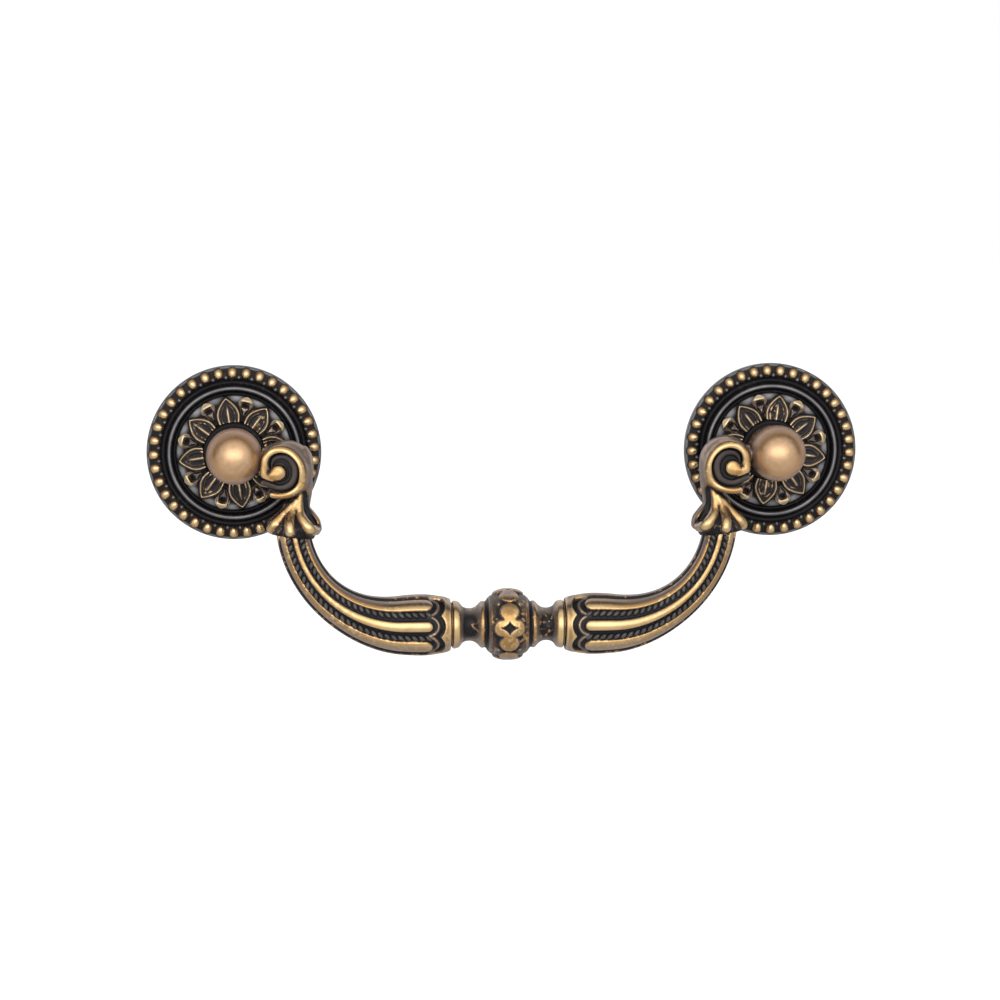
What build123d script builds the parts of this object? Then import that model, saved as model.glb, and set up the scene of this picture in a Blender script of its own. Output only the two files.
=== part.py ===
from build123d import *

import math
import os

# Frame: X runs from post to post, Z is up, and the drawer front is the plane Y = 0.
# The pull stands in front of it, towards -Y. The origin lies midway between the two screw holes.

# Mounting and pivot
hole_spacing = 96.0
pivot_height = 10.5

# Rosette: radii are from the post axis, heights from the drawer front
rosette_radius = 15.5
rim_height = 1.7
land_height = 2.0
land_width = 2.6
cove_height = 1.8
cove_wall = 0.2
ring_inset = 3.95
ring_half_width = 0.95
ring_height = 3.2
field_inset = 5.1
field_height = 2.1
hub_radius = 5.5
hub_height = 3.7
hub_chamfer = 0.2
back_rim_width = 2.5
back_seat_width = 0.5
back_recess_depth = 0.8

# Beads round the rim
bead_count = 37
bead_inset = 1.3
bead_radius = 0.95
bead_height = 0.85

# Flower: eight petals, and eight smaller ones between them
petal_count = 8
petal_turn = 8.5
petal_tip_gap = 0.4
petal_half_width = 1.95
petal_rise = 1.35
petal_tip_rise = 0.3
petal_wall = 0.45
petal_hollow = 0.6
petal_rib_half_width = 0.25
petal_rib_gap = 1.3
petal_overlap = 0.5
hollow_gap = 0.35
belly_share = 0.4
foot_share = 0.8
sepal_tip_gap = 0.25
sepal_foot_gap = 1.1
sepal_half_width = 1.25
sepal_rise = 0.55

# Ball-headed post
ball_radius = 4.95
ball_flat_distance = 4.7
neck_radius = 2.9
flange_margin = 0.9
flange_thickness = 0.9
spigot_radius = 2.75
spigot_clearance = 0.03
screw_hole_radius = 1.65
screw_hole_depth = 7.5

# Pivot pin
pin_radius = 1.2
pin_clearance = 0.05
pin_end_clearance = 0.3
pin_chamfer = 0.2
pin_in_post = 2.9
pin_in_bail = 3.6

# Bar and arms of the bail: each arm is straight, then one bend up to its husk
bar_drop = 30.0
bend_radius = 19.0
bend_angle = 85.0
arm_thick_radius = 5.4
arm_thin_radius = 3.0
arm_thick_distance = 15.2
arm_taper_length = 12.8
reed_start_distance = 13.3
core_overlap = 1.0
core_step = 0.05
reed_count = 8
reed_depth = 0.6
reed_rounding = 0.12
reed_half_angle = 10.5
sections_on_bend = 6

# Middle of the bail: distances are from its centre along the bar
knob_radius = 5.75
knob_half_length = 3.15
knob_end_radius = 4.3
knob_groove_width = 0.55
knob_groove_radius = 4.1
inner_ring_radius = 4.4
inner_ring_width = 1.0
inner_ring_foot_radius = 3.85
neck_distance = 6.7
neck_ring_radius = 3.0
outer_ring_distance = 8.4
outer_ring_radius = 4.3
outer_ring_width = 1.05
collar_groove_width = 0.35
collar_groove_depth = 0.3
collar_length = 2.5
collar_foot_radius = 4.4
collar_radius = 5.15
collar_bow_radius = 6.0

# Quatrefoils round the knob
foil_count = 4
foil_relief = 0.6
foil_side_radius = 1.3
foil_side_offset = 1.5
foil_end_radius = 1.65
foil_end_offset = 2.7
foil_heart_radius = 1.5
star_reach = 1.35
star_waist = 0.42
star_depth = 1.1

# Scroll at the end of each arm
scroll_inset = 9.4
scroll_drop = 1.95
scroll_radius = 4.4
scroll_half_thickness = 3.4
scroll_crest_radius = 3.5
scroll_edge_half_thickness = 1.8
eye_offset = 1.35
eye_drop = 1.0
volute_radius = 2.5
volute_width = 1.7
volute_start = 38.0
volute_turn = 290.0
volute_half_thickness = 2.1
tail_width = 1.1
tail_start = 185.0
tail_turn = 105.0
tail_half_thickness = 3.0
boss_radius = 1.6
boss_length = 2.6
boss_gap = 0.3

# Stem and husk between each scroll and its arm
husk_inset = 10.4
stem_drop = 8.75
stem_half_width = 1.4
stem_half_depth = 2.3
stem_lean = 1.4
stem_foot_drop = 12.1
stem_foot_reach = 4.2
stem_bow_drop = 10.8
stem_bow_reach = 3.4
husk_drop = 12.5
husk_tilt = 6.0
husk_top = 4.3
husk_top_radius = 1.6
husk_waist = 1.9
husk_waist_radius = 2.3
husk_radius = 4.9
husk_edge = 0.5
husk_bottom = 3.1
husk_bottom_radius = 3.15
leaf_count = 4
leaf_notch_radius = 1.05
leaf_notch_distance = 4.45

# Places worked out from the sizes above
post_x = hole_spacing / 2
ring_radius = rosette_radius - ring_inset
field_radius = rosette_radius - field_inset
bead_circle_radius = rosette_radius - bead_inset
petal_tip_radius = field_radius - petal_tip_gap
sepal_tip_radius = field_radius - sepal_tip_gap
sepal_foot_radius = hub_radius + sepal_foot_gap
flange_radius = hub_radius - flange_margin
back_rim_radius = rosette_radius - back_rim_width
back_seat_radius = hub_radius + back_seat_width
ball_flat_x = post_x - ball_flat_distance
bail_end_x = ball_flat_x - boss_gap
scroll_x = post_x - scroll_inset
eye_x = scroll_x + eye_offset
eye_z = -scroll_drop - eye_drop
husk_x = post_x - husk_inset
bend_start_x = husk_x - bend_radius
bend_centre_z = bend_radius - bar_drop
stem_x = husk_x - stem_lean
bail_plane = Plane(origin=(0, -pivot_height, 0), x_dir=(1, 0, 0), z_dir=(0, -1, 0))


def polar(radius, degrees):
    """A point of a sketch, given by its radius and angle."""
    angle = math.radians(degrees)
    return (radius * math.cos(angle), radius * math.sin(angle))


def profile_plane(x, z=0.0):
    """Plane through an axis that points to the front: its x is a radius, its y a height."""
    return Plane(origin=(x, 0, z), x_dir=(1, 0, 0), z_dir=(0, 0, -1))


def face_plane(x, height):
    """Plane parallel to the drawer front, with its origin on the post axis at x."""
    return Plane(origin=(x, -height, 0), x_dir=(1, 0, 0), z_dir=(0, -1, 0))


def make_leaf(foot, tip, half_width):
    """Outline of a pointed leaf between two radii, with its widest place near the foot."""
    belly = foot + belly_share * (tip - foot)
    with BuildSketch() as leaf:
        with BuildLine():
            ThreePointArc((foot, half_width * foot_share), (belly, half_width), (tip, 0))
            ThreePointArc((foot, -half_width * foot_share), (belly, -half_width), (tip, 0))
            Line((foot, -half_width * foot_share), (foot, half_width * foot_share))
        make_face()
    return leaf.sketch


def make_flower():
    """Petals and the smaller ones behind them, cut to slope down to their tips."""
    turn = 90 - petal_turn
    between = turn + 180 / petal_count
    rib_start = hub_radius - petal_overlap
    rib_end = petal_tip_radius - petal_rib_gap
    hollow_tip = petal_tip_radius - 2 * petal_wall
    petal = make_leaf(hub_radius - petal_overlap, petal_tip_radius, petal_half_width)
    hollow = make_leaf(hub_radius + hollow_gap, hollow_tip, petal_half_width - petal_wall)
    sepal = make_leaf(sepal_foot_radius, sepal_tip_radius, sepal_half_width)
    with BuildPart() as flower:
        with BuildSketch(face_plane(post_x, cove_height)):
            with PolarLocations(0, petal_count, start_angle=between):
                add(sepal)
        extrude(amount=field_height + sepal_rise - cove_height)
        with BuildSketch(face_plane(post_x, cove_height)):
            with PolarLocations(0, petal_count, start_angle=turn):
                add(petal)
        extrude(amount=field_height + petal_rise - cove_height)
        with BuildSketch(face_plane(post_x, field_height + petal_rise - petal_hollow)):
            with PolarLocations(0, petal_count, start_angle=turn):
                add(hollow)
        extrude(amount=petal_hollow, mode=Mode.SUBTRACT)
        with BuildSketch(face_plane(post_x, field_height)):
            with PolarLocations((rib_start + rib_end) / 2, petal_count, start_angle=turn):
                Rectangle(rib_end - rib_start, 2 * petal_rib_half_width)
        extrude(amount=petal_rise)
        with BuildSketch(profile_plane(post_x)):
            Polygon(
                (0, 0),
                (field_radius, 0),
                (field_radius, field_height + petal_tip_rise),
                (hub_radius, field_height + petal_rise),
                (0, field_height + petal_rise),
                align=None,
            )
        revolve(axis=Axis((post_x, 0, 0), (0, -1, 0)), mode=Mode.INTERSECT)
    return flower.part


flower = make_flower()

with BuildPart() as rosette_right:
    with BuildSketch(profile_plane(post_x)):
        with BuildLine():
            ThreePointArc(
                (ring_radius + ring_half_width, cove_height),
                (ring_radius, ring_height),
                (ring_radius - ring_half_width, cove_height),
            )
            Polyline(
                (ring_radius - ring_half_width, cove_height),
                (field_radius, cove_height),
                (field_radius - cove_wall, field_height),
                (hub_radius, field_height),
                (hub_radius, hub_height - hub_chamfer),
                (hub_radius - hub_chamfer, hub_height),
                (spigot_radius + spigot_clearance, hub_height),
                (spigot_radius + spigot_clearance, 0),
                (back_seat_radius, 0),
                (back_seat_radius, back_recess_depth),
                (back_rim_radius, back_recess_depth),
                (back_rim_radius, 0),
                (rosette_radius, 0),
                (rosette_radius, rim_height),
                (rosette_radius - (land_height - rim_height), land_height),
                (rosette_radius - land_width, land_height),
                (rosette_radius - land_width - cove_wall, cove_height),
                (ring_radius + ring_half_width, cove_height),
            )
        make_face()
    revolve(axis=Axis((post_x, 0, 0), (0, -1, 0)))
    add(flower)
    with Locations(face_plane(post_x, land_height + bead_height - bead_radius)):
        with PolarLocations(bead_circle_radius, bead_count, start_angle=90):
            Sphere(bead_radius)
rosette_right.part.label = "rosette_right"

with BuildPart() as rosette_left:
    mirror(rosette_right.part, about=Plane.YZ)
rosette_left.part.label = "rosette_left"


# Ball-headed post: the ball, its neck, a flange on the rosette and a spigot through it
neck_plane = profile_plane(post_x)
with BuildPart() as post_right:
    with BuildSketch(neck_plane):
        Polygon(
            (0, 0),
            (spigot_radius, 0),
            (spigot_radius, hub_height),
            (flange_radius, hub_height),
            (flange_radius, hub_height + flange_thickness / 2),
            (neck_radius + flange_thickness / 2, hub_height + flange_thickness),
            (neck_radius, hub_height + flange_thickness),
            (neck_radius, pivot_height),
            (0, pivot_height),
            align=None,
        )
    revolve(axis=Axis((post_x, 0, 0), (0, -1, 0)))
    with Locations((post_x, -pivot_height, 0)):
        Sphere(ball_radius)
    with BuildSketch(Plane(origin=(ball_flat_x, -pivot_height, 0), z_dir=(-1, 0, 0))):
        Circle(ball_radius)
    extrude(amount=ball_radius - ball_flat_distance, mode=Mode.SUBTRACT)
    with Locations(Plane(origin=(ball_flat_x, -pivot_height, 0), z_dir=(-1, 0, 0))):
        Hole(pin_radius + pin_clearance, depth=pin_in_post + pin_end_clearance)
    with Locations(Plane(origin=(post_x, 0, 0), z_dir=(0, 1, 0))):
        Hole(screw_hole_radius, depth=screw_hole_depth)
post_right.part.label = "post_right"

with BuildPart() as post_left:
    mirror(post_right.part, about=Plane.YZ)
post_left.part.label = "post_left"


# Pivot pin, pressed into the scroll and running in the post
with BuildPart() as pivot_pin_right:
    with BuildSketch(Plane(origin=(bail_end_x - pin_in_bail, -pivot_height, 0), z_dir=(1, 0, 0))):
        Circle(pin_radius)
    extrude(amount=pin_in_bail + boss_gap + pin_in_post)
    chamfer(pivot_pin_right.edges().filter_by(GeomType.CIRCLE), pin_chamfer)
pivot_pin_right.part.label = "pivot_pin_right"

with BuildPart() as pivot_pin_left:
    mirror(pivot_pin_right.part, about=Plane.YZ)
pivot_pin_left.part.label = "pivot_pin_left"


def arm_radius(distance):
    """Radius over the reeds, at a distance along the arm from its thickest place."""
    swelling = math.exp(-((distance / arm_taper_length) ** 2))
    return arm_thin_radius + (arm_thick_radius - arm_thin_radius) * swelling


def make_section(plane, radius):
    """Cross section of the arm: rounded reeds with a hollow between each two."""
    depth = reed_depth * radius / arm_thick_radius
    step = 360 / reed_count
    shoulder = radius - reed_rounding
    with BuildSketch(plane) as section:
        with BuildLine():
            for reed in range(reed_count):
                middle = reed * step
                first = polar(shoulder, middle - reed_half_angle)
                last = polar(shoulder, middle + reed_half_angle)
                following = polar(shoulder, middle + step - reed_half_angle)
                ThreePointArc(first, polar(radius, middle), last)
                ThreePointArc(last, polar(radius - depth, middle + step / 2), following)
        make_face()
    return section.sketch


def make_arm():
    """Reeded arm: a loft over its straight part and its bend."""
    sections = []
    for x in (reed_start_distance, arm_thick_distance, (arm_thick_distance + bend_start_x) / 2):
        plane = Plane(origin=(x, -pivot_height, -bar_drop), x_dir=(0, -1, 0), z_dir=(1, 0, 0))
        sections.append(make_section(plane, arm_radius(x - arm_thick_distance)))
    for step in range(sections_on_bend + 1):
        turned = bend_angle * step / sections_on_bend
        angle = math.radians(turned)
        point = (
            bend_start_x + bend_radius * math.sin(angle),
            -pivot_height,
            bend_centre_z - bend_radius * math.cos(angle),
        )
        plane = Plane(origin=point, x_dir=(0, -1, 0), z_dir=(math.cos(angle), 0, math.sin(angle)))
        distance = bend_start_x - arm_thick_distance + bend_radius * angle
        sections.append(make_section(plane, arm_radius(distance)))
    with BuildPart() as arm:
        loft(sections)
    return arm.part


def make_middle():
    """Right half of the turned middle: knob, rings, neck, collar and the core of the arm."""
    ring_start = knob_half_length + knob_groove_width
    ring_end = ring_start + inner_ring_width
    outer_end = outer_ring_distance + outer_ring_width
    collar_start = outer_end + collar_groove_width
    collar_end = collar_start + collar_length
    core_end = reed_start_distance + core_overlap
    core_radius = arm_thick_radius - reed_depth + core_step
    centre = (0, -pivot_height, -bar_drop)
    with BuildPart() as middle:
        with BuildSketch(Plane(origin=centre, x_dir=(1, 0, 0), z_dir=(0, -1, 0))):
            with BuildLine():
                Line((0, 0), (0, knob_radius))
                TangentArc((0, knob_radius), (knob_half_length, knob_end_radius), tangent=(1, 0))
                Polyline(
                    (knob_half_length, knob_end_radius),
                    (knob_half_length, knob_groove_radius),
                    (ring_start, knob_groove_radius),
                    (ring_start, inner_ring_radius),
                    (ring_end, inner_ring_foot_radius),
                )
                ThreePointArc(
                    (ring_end, inner_ring_foot_radius),
                    (neck_distance, neck_ring_radius),
                    (outer_ring_distance, inner_ring_foot_radius),
                )
                Polyline(
                    (outer_ring_distance, inner_ring_foot_radius),
                    (outer_end, outer_ring_radius),
                    (outer_end, outer_ring_radius - collar_groove_depth),
                    (collar_start, outer_ring_radius - collar_groove_depth),
                    (collar_start, collar_foot_radius),
                )
                RadiusArc((collar_start, collar_foot_radius), (collar_end, collar_radius), collar_bow_radius)
                Polyline(
                    (collar_end, collar_radius),
                    (collar_end, core_radius),
                    (core_end, core_radius),
                    (core_end, 0),
                    (0, 0),
                )
            make_face()
        revolve(axis=Axis(centre, (1, 0, 0)))
    return middle.part


def make_scroll():
    """Scroll of the right arm, with its volute, its lower lip and the boss for the pin."""
    scroll_centre = (scroll_x, -pivot_height, -scroll_drop)
    lip_radius = volute_radius + (volute_width + tail_width) / 2
    volute = CenterArc((eye_x, eye_z), volute_radius, volute_start, volute_turn)
    lip = CenterArc((eye_x, eye_z), lip_radius, tail_start, tail_turn)
    with BuildPart() as scroll:
        with BuildSketch(Plane(origin=scroll_centre, x_dir=(1, 0, 0), z_dir=(0, 0, -1))):
            with BuildLine():
                Line((0, scroll_half_thickness), (scroll_crest_radius, scroll_half_thickness))
                RadiusArc(
                    (scroll_crest_radius, scroll_half_thickness),
                    (scroll_radius, scroll_edge_half_thickness),
                    scroll_half_thickness - scroll_edge_half_thickness,
                )
                Polyline((scroll_radius, scroll_edge_half_thickness), (scroll_radius, 0), (0, 0))
                Line((0, 0), (0, scroll_half_thickness))
            make_face()
            mirror(about=Plane.XZ)
        revolve(axis=Axis(scroll_centre, (0, -1, 0)))
        for side in (-1, 1):
            with BuildSketch(bail_plane.offset(side * volute_half_thickness)):
                SlotArc(volute, volute_width)
            extrude(amount=side * scroll_half_thickness, mode=Mode.SUBTRACT)
        with BuildSketch(bail_plane):
            SlotArc(lip, tail_width)
        extrude(amount=tail_half_thickness, both=True)
        with BuildSketch(Plane(origin=(bail_end_x - boss_length, -pivot_height, 0), z_dir=(1, 0, 0))):
            Circle(boss_radius)
        extrude(amount=boss_length)
    return scroll.part


def make_husk():
    """Stem under the scroll, and the bell of leaves that opens over the arm."""
    neck_left = stem_x - stem_half_width
    neck_right = stem_x + stem_half_width
    scroll_left = scroll_x - scroll_radius
    lean = math.radians(husk_tilt)
    up = (-math.sin(lean), 0, math.cos(lean))
    across = (math.cos(lean), 0, math.sin(lean))
    centre = (husk_x, -pivot_height, -husk_drop)
    with BuildPart() as husk:
        with BuildSketch(Plane(origin=centre, x_dir=across, z_dir=(0, -1, 0))):
            with BuildLine():
                Line((0, husk_top), (husk_top_radius, husk_top))
                ThreePointArc(
                    (husk_top_radius, husk_top),
                    (husk_waist_radius, husk_waist),
                    (husk_radius - husk_edge / 2, husk_edge),
                )
                ThreePointArc(
                    (husk_radius - husk_edge / 2, husk_edge),
                    (husk_radius, 0),
                    (husk_radius - husk_edge / 2, -husk_edge),
                )
                Polyline(
                    (husk_radius - husk_edge / 2, -husk_edge),
                    (husk_bottom_radius, -husk_bottom),
                    (0, -husk_bottom),
                    (0, husk_top),
                )
            make_face()
        revolve(axis=Axis(centre, up))
        with BuildSketch(Plane(origin=centre, x_dir=across, z_dir=up).offset(-husk_bottom)):
            with PolarLocations(leaf_notch_distance, leaf_count, start_angle=45):
                Circle(leaf_notch_radius)
        extrude(amount=husk_bottom + husk_top, mode=Mode.SUBTRACT)
        with BuildSketch(bail_plane):
            with BuildLine():
                Spline(
                    (scroll_left, -scroll_drop),
                    (neck_left, -stem_drop),
                    (husk_x - stem_bow_reach, -stem_bow_drop),
                    (husk_x - stem_foot_reach, -stem_foot_drop),
                    tangents=((0, -1), (-0.7, -1)),
                )
                Polyline(
                    (husk_x - stem_foot_reach, -stem_foot_drop),
                    (husk_x, -stem_foot_drop),
                    (neck_right, -stem_drop),
                    (eye_x - volute_radius / 2, -scroll_drop - scroll_radius),
                    (scroll_left, -scroll_drop),
                )
            make_face()
        extrude(amount=stem_half_depth, both=True)
    return husk.part


def make_foil():
    """Quatrefoil on the front of the knob, following its curve."""
    top = knob_radius + foil_relief
    side = knob_end_radius + foil_relief
    centre = (0, -pivot_height, -bar_drop)
    with BuildPart() as shell:
        with BuildSketch(Plane(origin=centre, x_dir=(1, 0, 0), z_dir=(0, -1, 0))):
            with BuildLine():
                ThreePointArc((-knob_half_length, side), (0, top), (knob_half_length, side))
                Polyline(
                    (knob_half_length, side),
                    (knob_half_length, 0),
                    (-knob_half_length, 0),
                    (-knob_half_length, side),
                )
            make_face()
        revolve(axis=Axis(centre, (1, 0, 0)))
    with BuildPart() as foil:
        with BuildSketch(bail_plane):
            with Locations((0, -bar_drop)):
                Circle(foil_heart_radius)
            with Locations((-foil_side_offset, -bar_drop), (foil_side_offset, -bar_drop)):
                Circle(foil_side_radius)
            with Locations((0, -bar_drop - foil_end_offset), (0, -bar_drop + foil_end_offset)):
                Circle(foil_end_radius)
        extrude(amount=top)
        add(shell.part, mode=Mode.INTERSECT)
    return foil.part


def make_star():
    """Tool that sinks a four-pointed star into the middle of the front quatrefoil."""
    corners = []
    for corner in range(8):
        reach = star_reach if corner % 2 == 0 else star_waist * math.sqrt(2)
        corners.append(polar(reach, 45 * corner))
    with BuildPart() as star:
        with BuildSketch(bail_plane.offset(knob_radius + foil_relief)):
            with Locations((0, -bar_drop)):
                Polygon(*corners, align=None)
        extrude(amount=star_depth, both=True)
    return star.part


arm = make_arm()
middle = make_middle()
scroll = make_scroll()
husk = make_husk()
foil = make_foil()
star = make_star()
bar_axis = Axis((0, -pivot_height, -bar_drop), (1, 0, 0))

with BuildPart() as bail:
    add(middle)
    add(arm)
    add(husk)
    add(scroll)
    with Locations(Plane(origin=(bail_end_x, -pivot_height, 0), z_dir=(1, 0, 0))):
        Hole(pin_radius, depth=pin_in_bail)
    mirror(about=Plane.YZ)
    for turn in range(foil_count):
        add(foil.rotate(bar_axis, turn * 360 / foil_count))
    for turn in range(foil_count):
        add(star.rotate(bar_axis, turn * 360 / foil_count), mode=Mode.SUBTRACT)
bail.part.label = "bail"

os.makedirs("parts", exist_ok=True)
for piece in (rosette_left, rosette_right, post_left, post_right, pivot_pin_left, pivot_pin_right, bail):
    export_step(piece.part, f"parts/{piece.part.label}.step")
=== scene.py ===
# %% [markdown]
# # A drop pull in antique brass
# A drop pull hangs from two screws on a drawer front. Each end has a round rosette and a
# ball-headed post, and a cast bail swings between the posts on two short pins. The solid model is
# already packed as a frame, so this lesson loads it first and never moves it. It could be dressed
# only with materials, but the carving is finer than the solids, so most pieces are made again over
# them here, in the same place and inside the same box.

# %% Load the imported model
import math
from functools import partial

import bpy
import numpy as np
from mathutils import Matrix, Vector


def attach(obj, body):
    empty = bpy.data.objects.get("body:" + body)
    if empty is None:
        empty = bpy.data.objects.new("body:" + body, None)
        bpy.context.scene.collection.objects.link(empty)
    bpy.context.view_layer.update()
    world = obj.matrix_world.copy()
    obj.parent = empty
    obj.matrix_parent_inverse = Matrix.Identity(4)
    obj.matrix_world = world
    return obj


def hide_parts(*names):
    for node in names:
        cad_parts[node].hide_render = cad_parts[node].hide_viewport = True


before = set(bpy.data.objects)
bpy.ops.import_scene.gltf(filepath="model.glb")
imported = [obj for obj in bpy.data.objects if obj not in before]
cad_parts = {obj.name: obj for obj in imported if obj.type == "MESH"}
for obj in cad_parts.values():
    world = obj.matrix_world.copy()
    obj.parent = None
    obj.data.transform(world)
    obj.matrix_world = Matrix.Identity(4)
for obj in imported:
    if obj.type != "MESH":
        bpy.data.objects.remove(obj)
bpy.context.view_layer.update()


print("solid nodes:", sorted(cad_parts))

# %% [markdown]
# ## Points and faces first
# A cast piece is easiest to describe in millimetres with arrays of points: a ring of points pushed
# along a line, or a grid pushed out by a formula. Modelling by hand in bmesh would also do, but
# arrays keep thousands of points in one expression. These helpers turn arrays into closed meshes
# and make sure that the faces look outwards.

# %% From arrays to meshes
MM = 0.001
NO_FANS = np.zeros((0, 3), int)


def quads_of_grid(rows, columns, wrap):
    """The four corners of each square of a grid of points that is numbered row by row."""
    across = np.arange(columns if wrap else columns - 1)
    near = (np.arange(rows - 1)[:, None] * columns + across).ravel()
    beside = (np.arange(rows - 1)[:, None] * columns + (across + 1) % columns).ravel()
    return np.stack([near, beside, beside + columns, near + columns], axis=1)


def closed_tube(grid):
    """A grid whose rows are rings, closed at each end by a fan of triangles."""
    rows, columns, _ = grid.shape
    points = np.vstack([grid.reshape(-1, 3), grid[0].mean(axis=0), grid[-1].mean(axis=0)])
    i = np.arange(columns)
    j = (i + 1) % columns
    last = (rows - 1) * columns
    start = np.stack([j, i, np.full(columns, rows * columns)], axis=1)
    end = np.stack([last + i, last + j, np.full(columns, rows * columns + 1)], axis=1)
    return points, quads_of_grid(rows, columns, True), np.vstack([start, end])


def closed_ring(grid):
    """A grid whose rows are rings and whose last row joins the first, as round a hole."""
    points = grid.reshape(-1, 3)
    return points, quads_of_grid(len(grid) + 1, grid.shape[1], True) % len(points), NO_FANS


def closed_patch(grid, sink):
    """An open grid with a skirt that goes down by the vector sink, and a floor under it."""
    rows, columns, _ = grid.shape
    index = np.arange(rows * columns).reshape(rows, columns)
    rim = np.concatenate([index[0, :-1], index[:-1, -1], index[-1, :0:-1], index[:0:-1, 0]])
    flat = grid.reshape(-1, 3)
    skirt = flat[rim] + sink
    points = np.vstack([flat, skirt, skirt.mean(axis=0)])
    low = len(flat) + np.arange(len(rim))
    after = np.roll(low, -1)
    sides = np.stack([np.roll(rim, -1), rim, low, after], axis=1)
    floor = np.stack([after, low, np.full(len(rim), len(points) - 1)], axis=1)
    return points, np.vstack([quads_of_grid(rows, columns, False), sides]), floor


def facing_out(points, quads, triangles):
    """The same faces, turned round if the volume that they enclose comes out negative."""
    corners = np.vstack([quads[:, [0, 1, 2]], quads[:, [0, 2, 3]], triangles])
    a, b, c = (points[corners[:, k]] for k in range(3))
    if np.einsum("ij,ij->i", a, np.cross(b, c)).sum() < 0:
        return quads[:, ::-1], triangles[:, ::-1]
    return quads, triangles


def piece_of(name, points, quads, triangles, finish=None, **values):
    """A smooth-shaded object in metres; each extra value becomes an attribute of its points."""
    quads, triangles = facing_out(points, quads, triangles)
    mesh = bpy.data.meshes.new(name)
    mesh.from_pydata((points * MM).tolist(), [], quads.tolist() + triangles.tolist())
    mesh.shade_smooth()
    for label, value in values.items():
        layer = mesh.attributes.new(label, "FLOAT", "POINT")
        layer.data.foreach_set("value", np.ascontiguousarray(value, dtype=np.float32))
    if finish:
        mesh.materials.append(finish)
    piece = bpy.data.objects.new(name, mesh)
    bpy.context.scene.collection.objects.link(piece)
    print(f"{name}: {2 * len(quads) + len(triangles)} triangles")
    return piece


def mirrored(points):
    """The same points on the left of the pull."""
    return points * np.array([-1.0, 1.0, 1.0])


def pair_of(name, body, finish, to_left=mirrored, **values):
    """The piece on the right and its twin on the left; body is points, quads and triangles."""
    points, *faces = body
    return [piece_of(f"{name}_{side}", place, *faces, finish, **values)
            for side, place in (("right", points), ("left", to_left(points)))]


def with_ends(grid, ends=(0.0, 0.0)):
    """One value for each point of a closed tube: those of its grid, then those of its two ends."""
    return np.append(grid.ravel(), ends)

# %% [markdown]
# ## Where the patina has been rubbed off
# Antique brass is blackened all over and then rubbed, so metal shows on whatever stands out and
# the dark stays in whatever lies low. A shader can't see how far a point stands out, and pointiness
# depends on how fine the mesh is. So each piece measures it here: it is the distance between a
# point and the same surface after it has been smoothed. It is kept as an attribute called raised,
# less a painted shade where a point faces aside from the front. A second attribute says how far a
# point faces aside, and there a sheen of reflected light is painted.

# %% Measure how far each point stands out
IN_A_HOLLOW = -0.17, -0.03


def standing_out(points, quads, triangles, rounds, side_shade=0.16, front=1, side=(0.17, 0.48),
                 under=0.0):
    """How far each point lies outside its smoothed surface, in mm, below zero in a hollow, less a
    painted shade where it faces aside from the front, and how much painted sheen it gets for facing
    aside. The cloth rubs what faces it, so facing aside costs up to shy."""
    quads, triangles = facing_out(points, quads, triangles)
    sides = [quads[:, [k, (k + 1) % 4]] for k in range(4)]
    sides += [triangles[:, [k, (k + 1) % 3]] for k in range(3)]
    start, end = np.vstack(sides).T
    count = len(points)
    share = np.maximum(np.bincount(start, minlength=count), 1)
    corners = np.vstack([quads[:, [0, 1, 2]], quads[:, [0, 2, 3]], triangles])
    a, b, c = (points[corners[:, k]] for k in range(3))
    across = np.cross(b - a, c - a)
    smooth = points.copy()
    normal = np.zeros_like(points)
    for axis in range(3):
        for k in range(3):
            normal[:, axis] += np.bincount(corners[:, k], across[:, axis], count)
        for _ in range(rounds):
            smooth[:, axis] = np.bincount(start, smooth[end, axis], count) / share
    normal /= np.linalg.norm(normal, axis=1, keepdims=True) + 1e-12
    # Painted shade and sheen: what faces aside from the front is darkened, and outside hollows it
    # gets a painted sheen.
    sideways = 1.0 - np.abs(normal[:, front])
    relief = np.einsum("ij,ij->i", points - smooth, normal)
    turned_away = sideways + under * np.clip(-normal[:, 2], 0.0, None)
    aside = soft_step(*side, turned_away) * soft_step(*IN_A_HOLLOW, relief)
    return relief - side_shade * sideways**1.3, aside


def soft_step(low, high, value):
    """0 below low, 1 above high, and a smooth curve between."""
    share = np.clip((value - low) / (high - low), 0.0, 1.0)
    return share * share * (3.0 - 2.0 * share)

# %% [markdown]
# ## Sums written as sums
# A material or a Geometry Nodes tree is a web of nodes, and a long chain of Math nodes is hard to
# read. Here one small class wraps a socket, so that 1 - mask or a * b adds the Math node by itself.
# Every other node comes from one function, which sets it up first and fills its sockets after.

# %% A wrapped socket
RESULT_COLOUR = 2


class Wire:
    """An output socket of a node tree, on which sums can be written."""

    def __init__(self, tree, socket):
        self.tree, self.socket = tree, socket

    def math(self, operation, *values):
        return make(self.tree, "ShaderNodeMath", dict(enumerate(values)), operation=operation)

    def __add__(self, other):
        return self.math("ADD", self, other)

    def __sub__(self, other):
        return self.math("SUBTRACT", self, other)

    def __rsub__(self, other):
        return self.math("SUBTRACT", other, self)

    def __mul__(self, other):
        return self.math("MULTIPLY", self, other)

    def __truediv__(self, other):
        return self.math("DIVIDE", self, other)

    __radd__, __rmul__ = __add__, __mul__

    def between(self, low, high):
        """0 below low, 1 above high, with a soft curve between."""
        values = {"Value": self, "From Min": low, "From Max": high}
        return make(self.tree, "ShaderNodeMapRange", values, interpolation_type="SMOOTHSTEP")


def make(tree, kind, values=None, output=0, **settings):
    """Adds a node, sets it up, fills its sockets with numbers or wires, and wraps one output."""
    node = tree.nodes.new(kind)
    for name, value in settings.items():
        setattr(node, name, value)
    for name, value in (values or {}).items():
        by_name = [s for s in node.inputs if name in (s.identifier, s.name)]
        socket = node.inputs[name] if isinstance(name, int) else by_name[0]
        if isinstance(value, Wire):
            tree.links.new(value.socket, socket)
        else:
            socket.default_value = value
    return node if output is None else Wire(tree, node.outputs[output])


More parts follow.
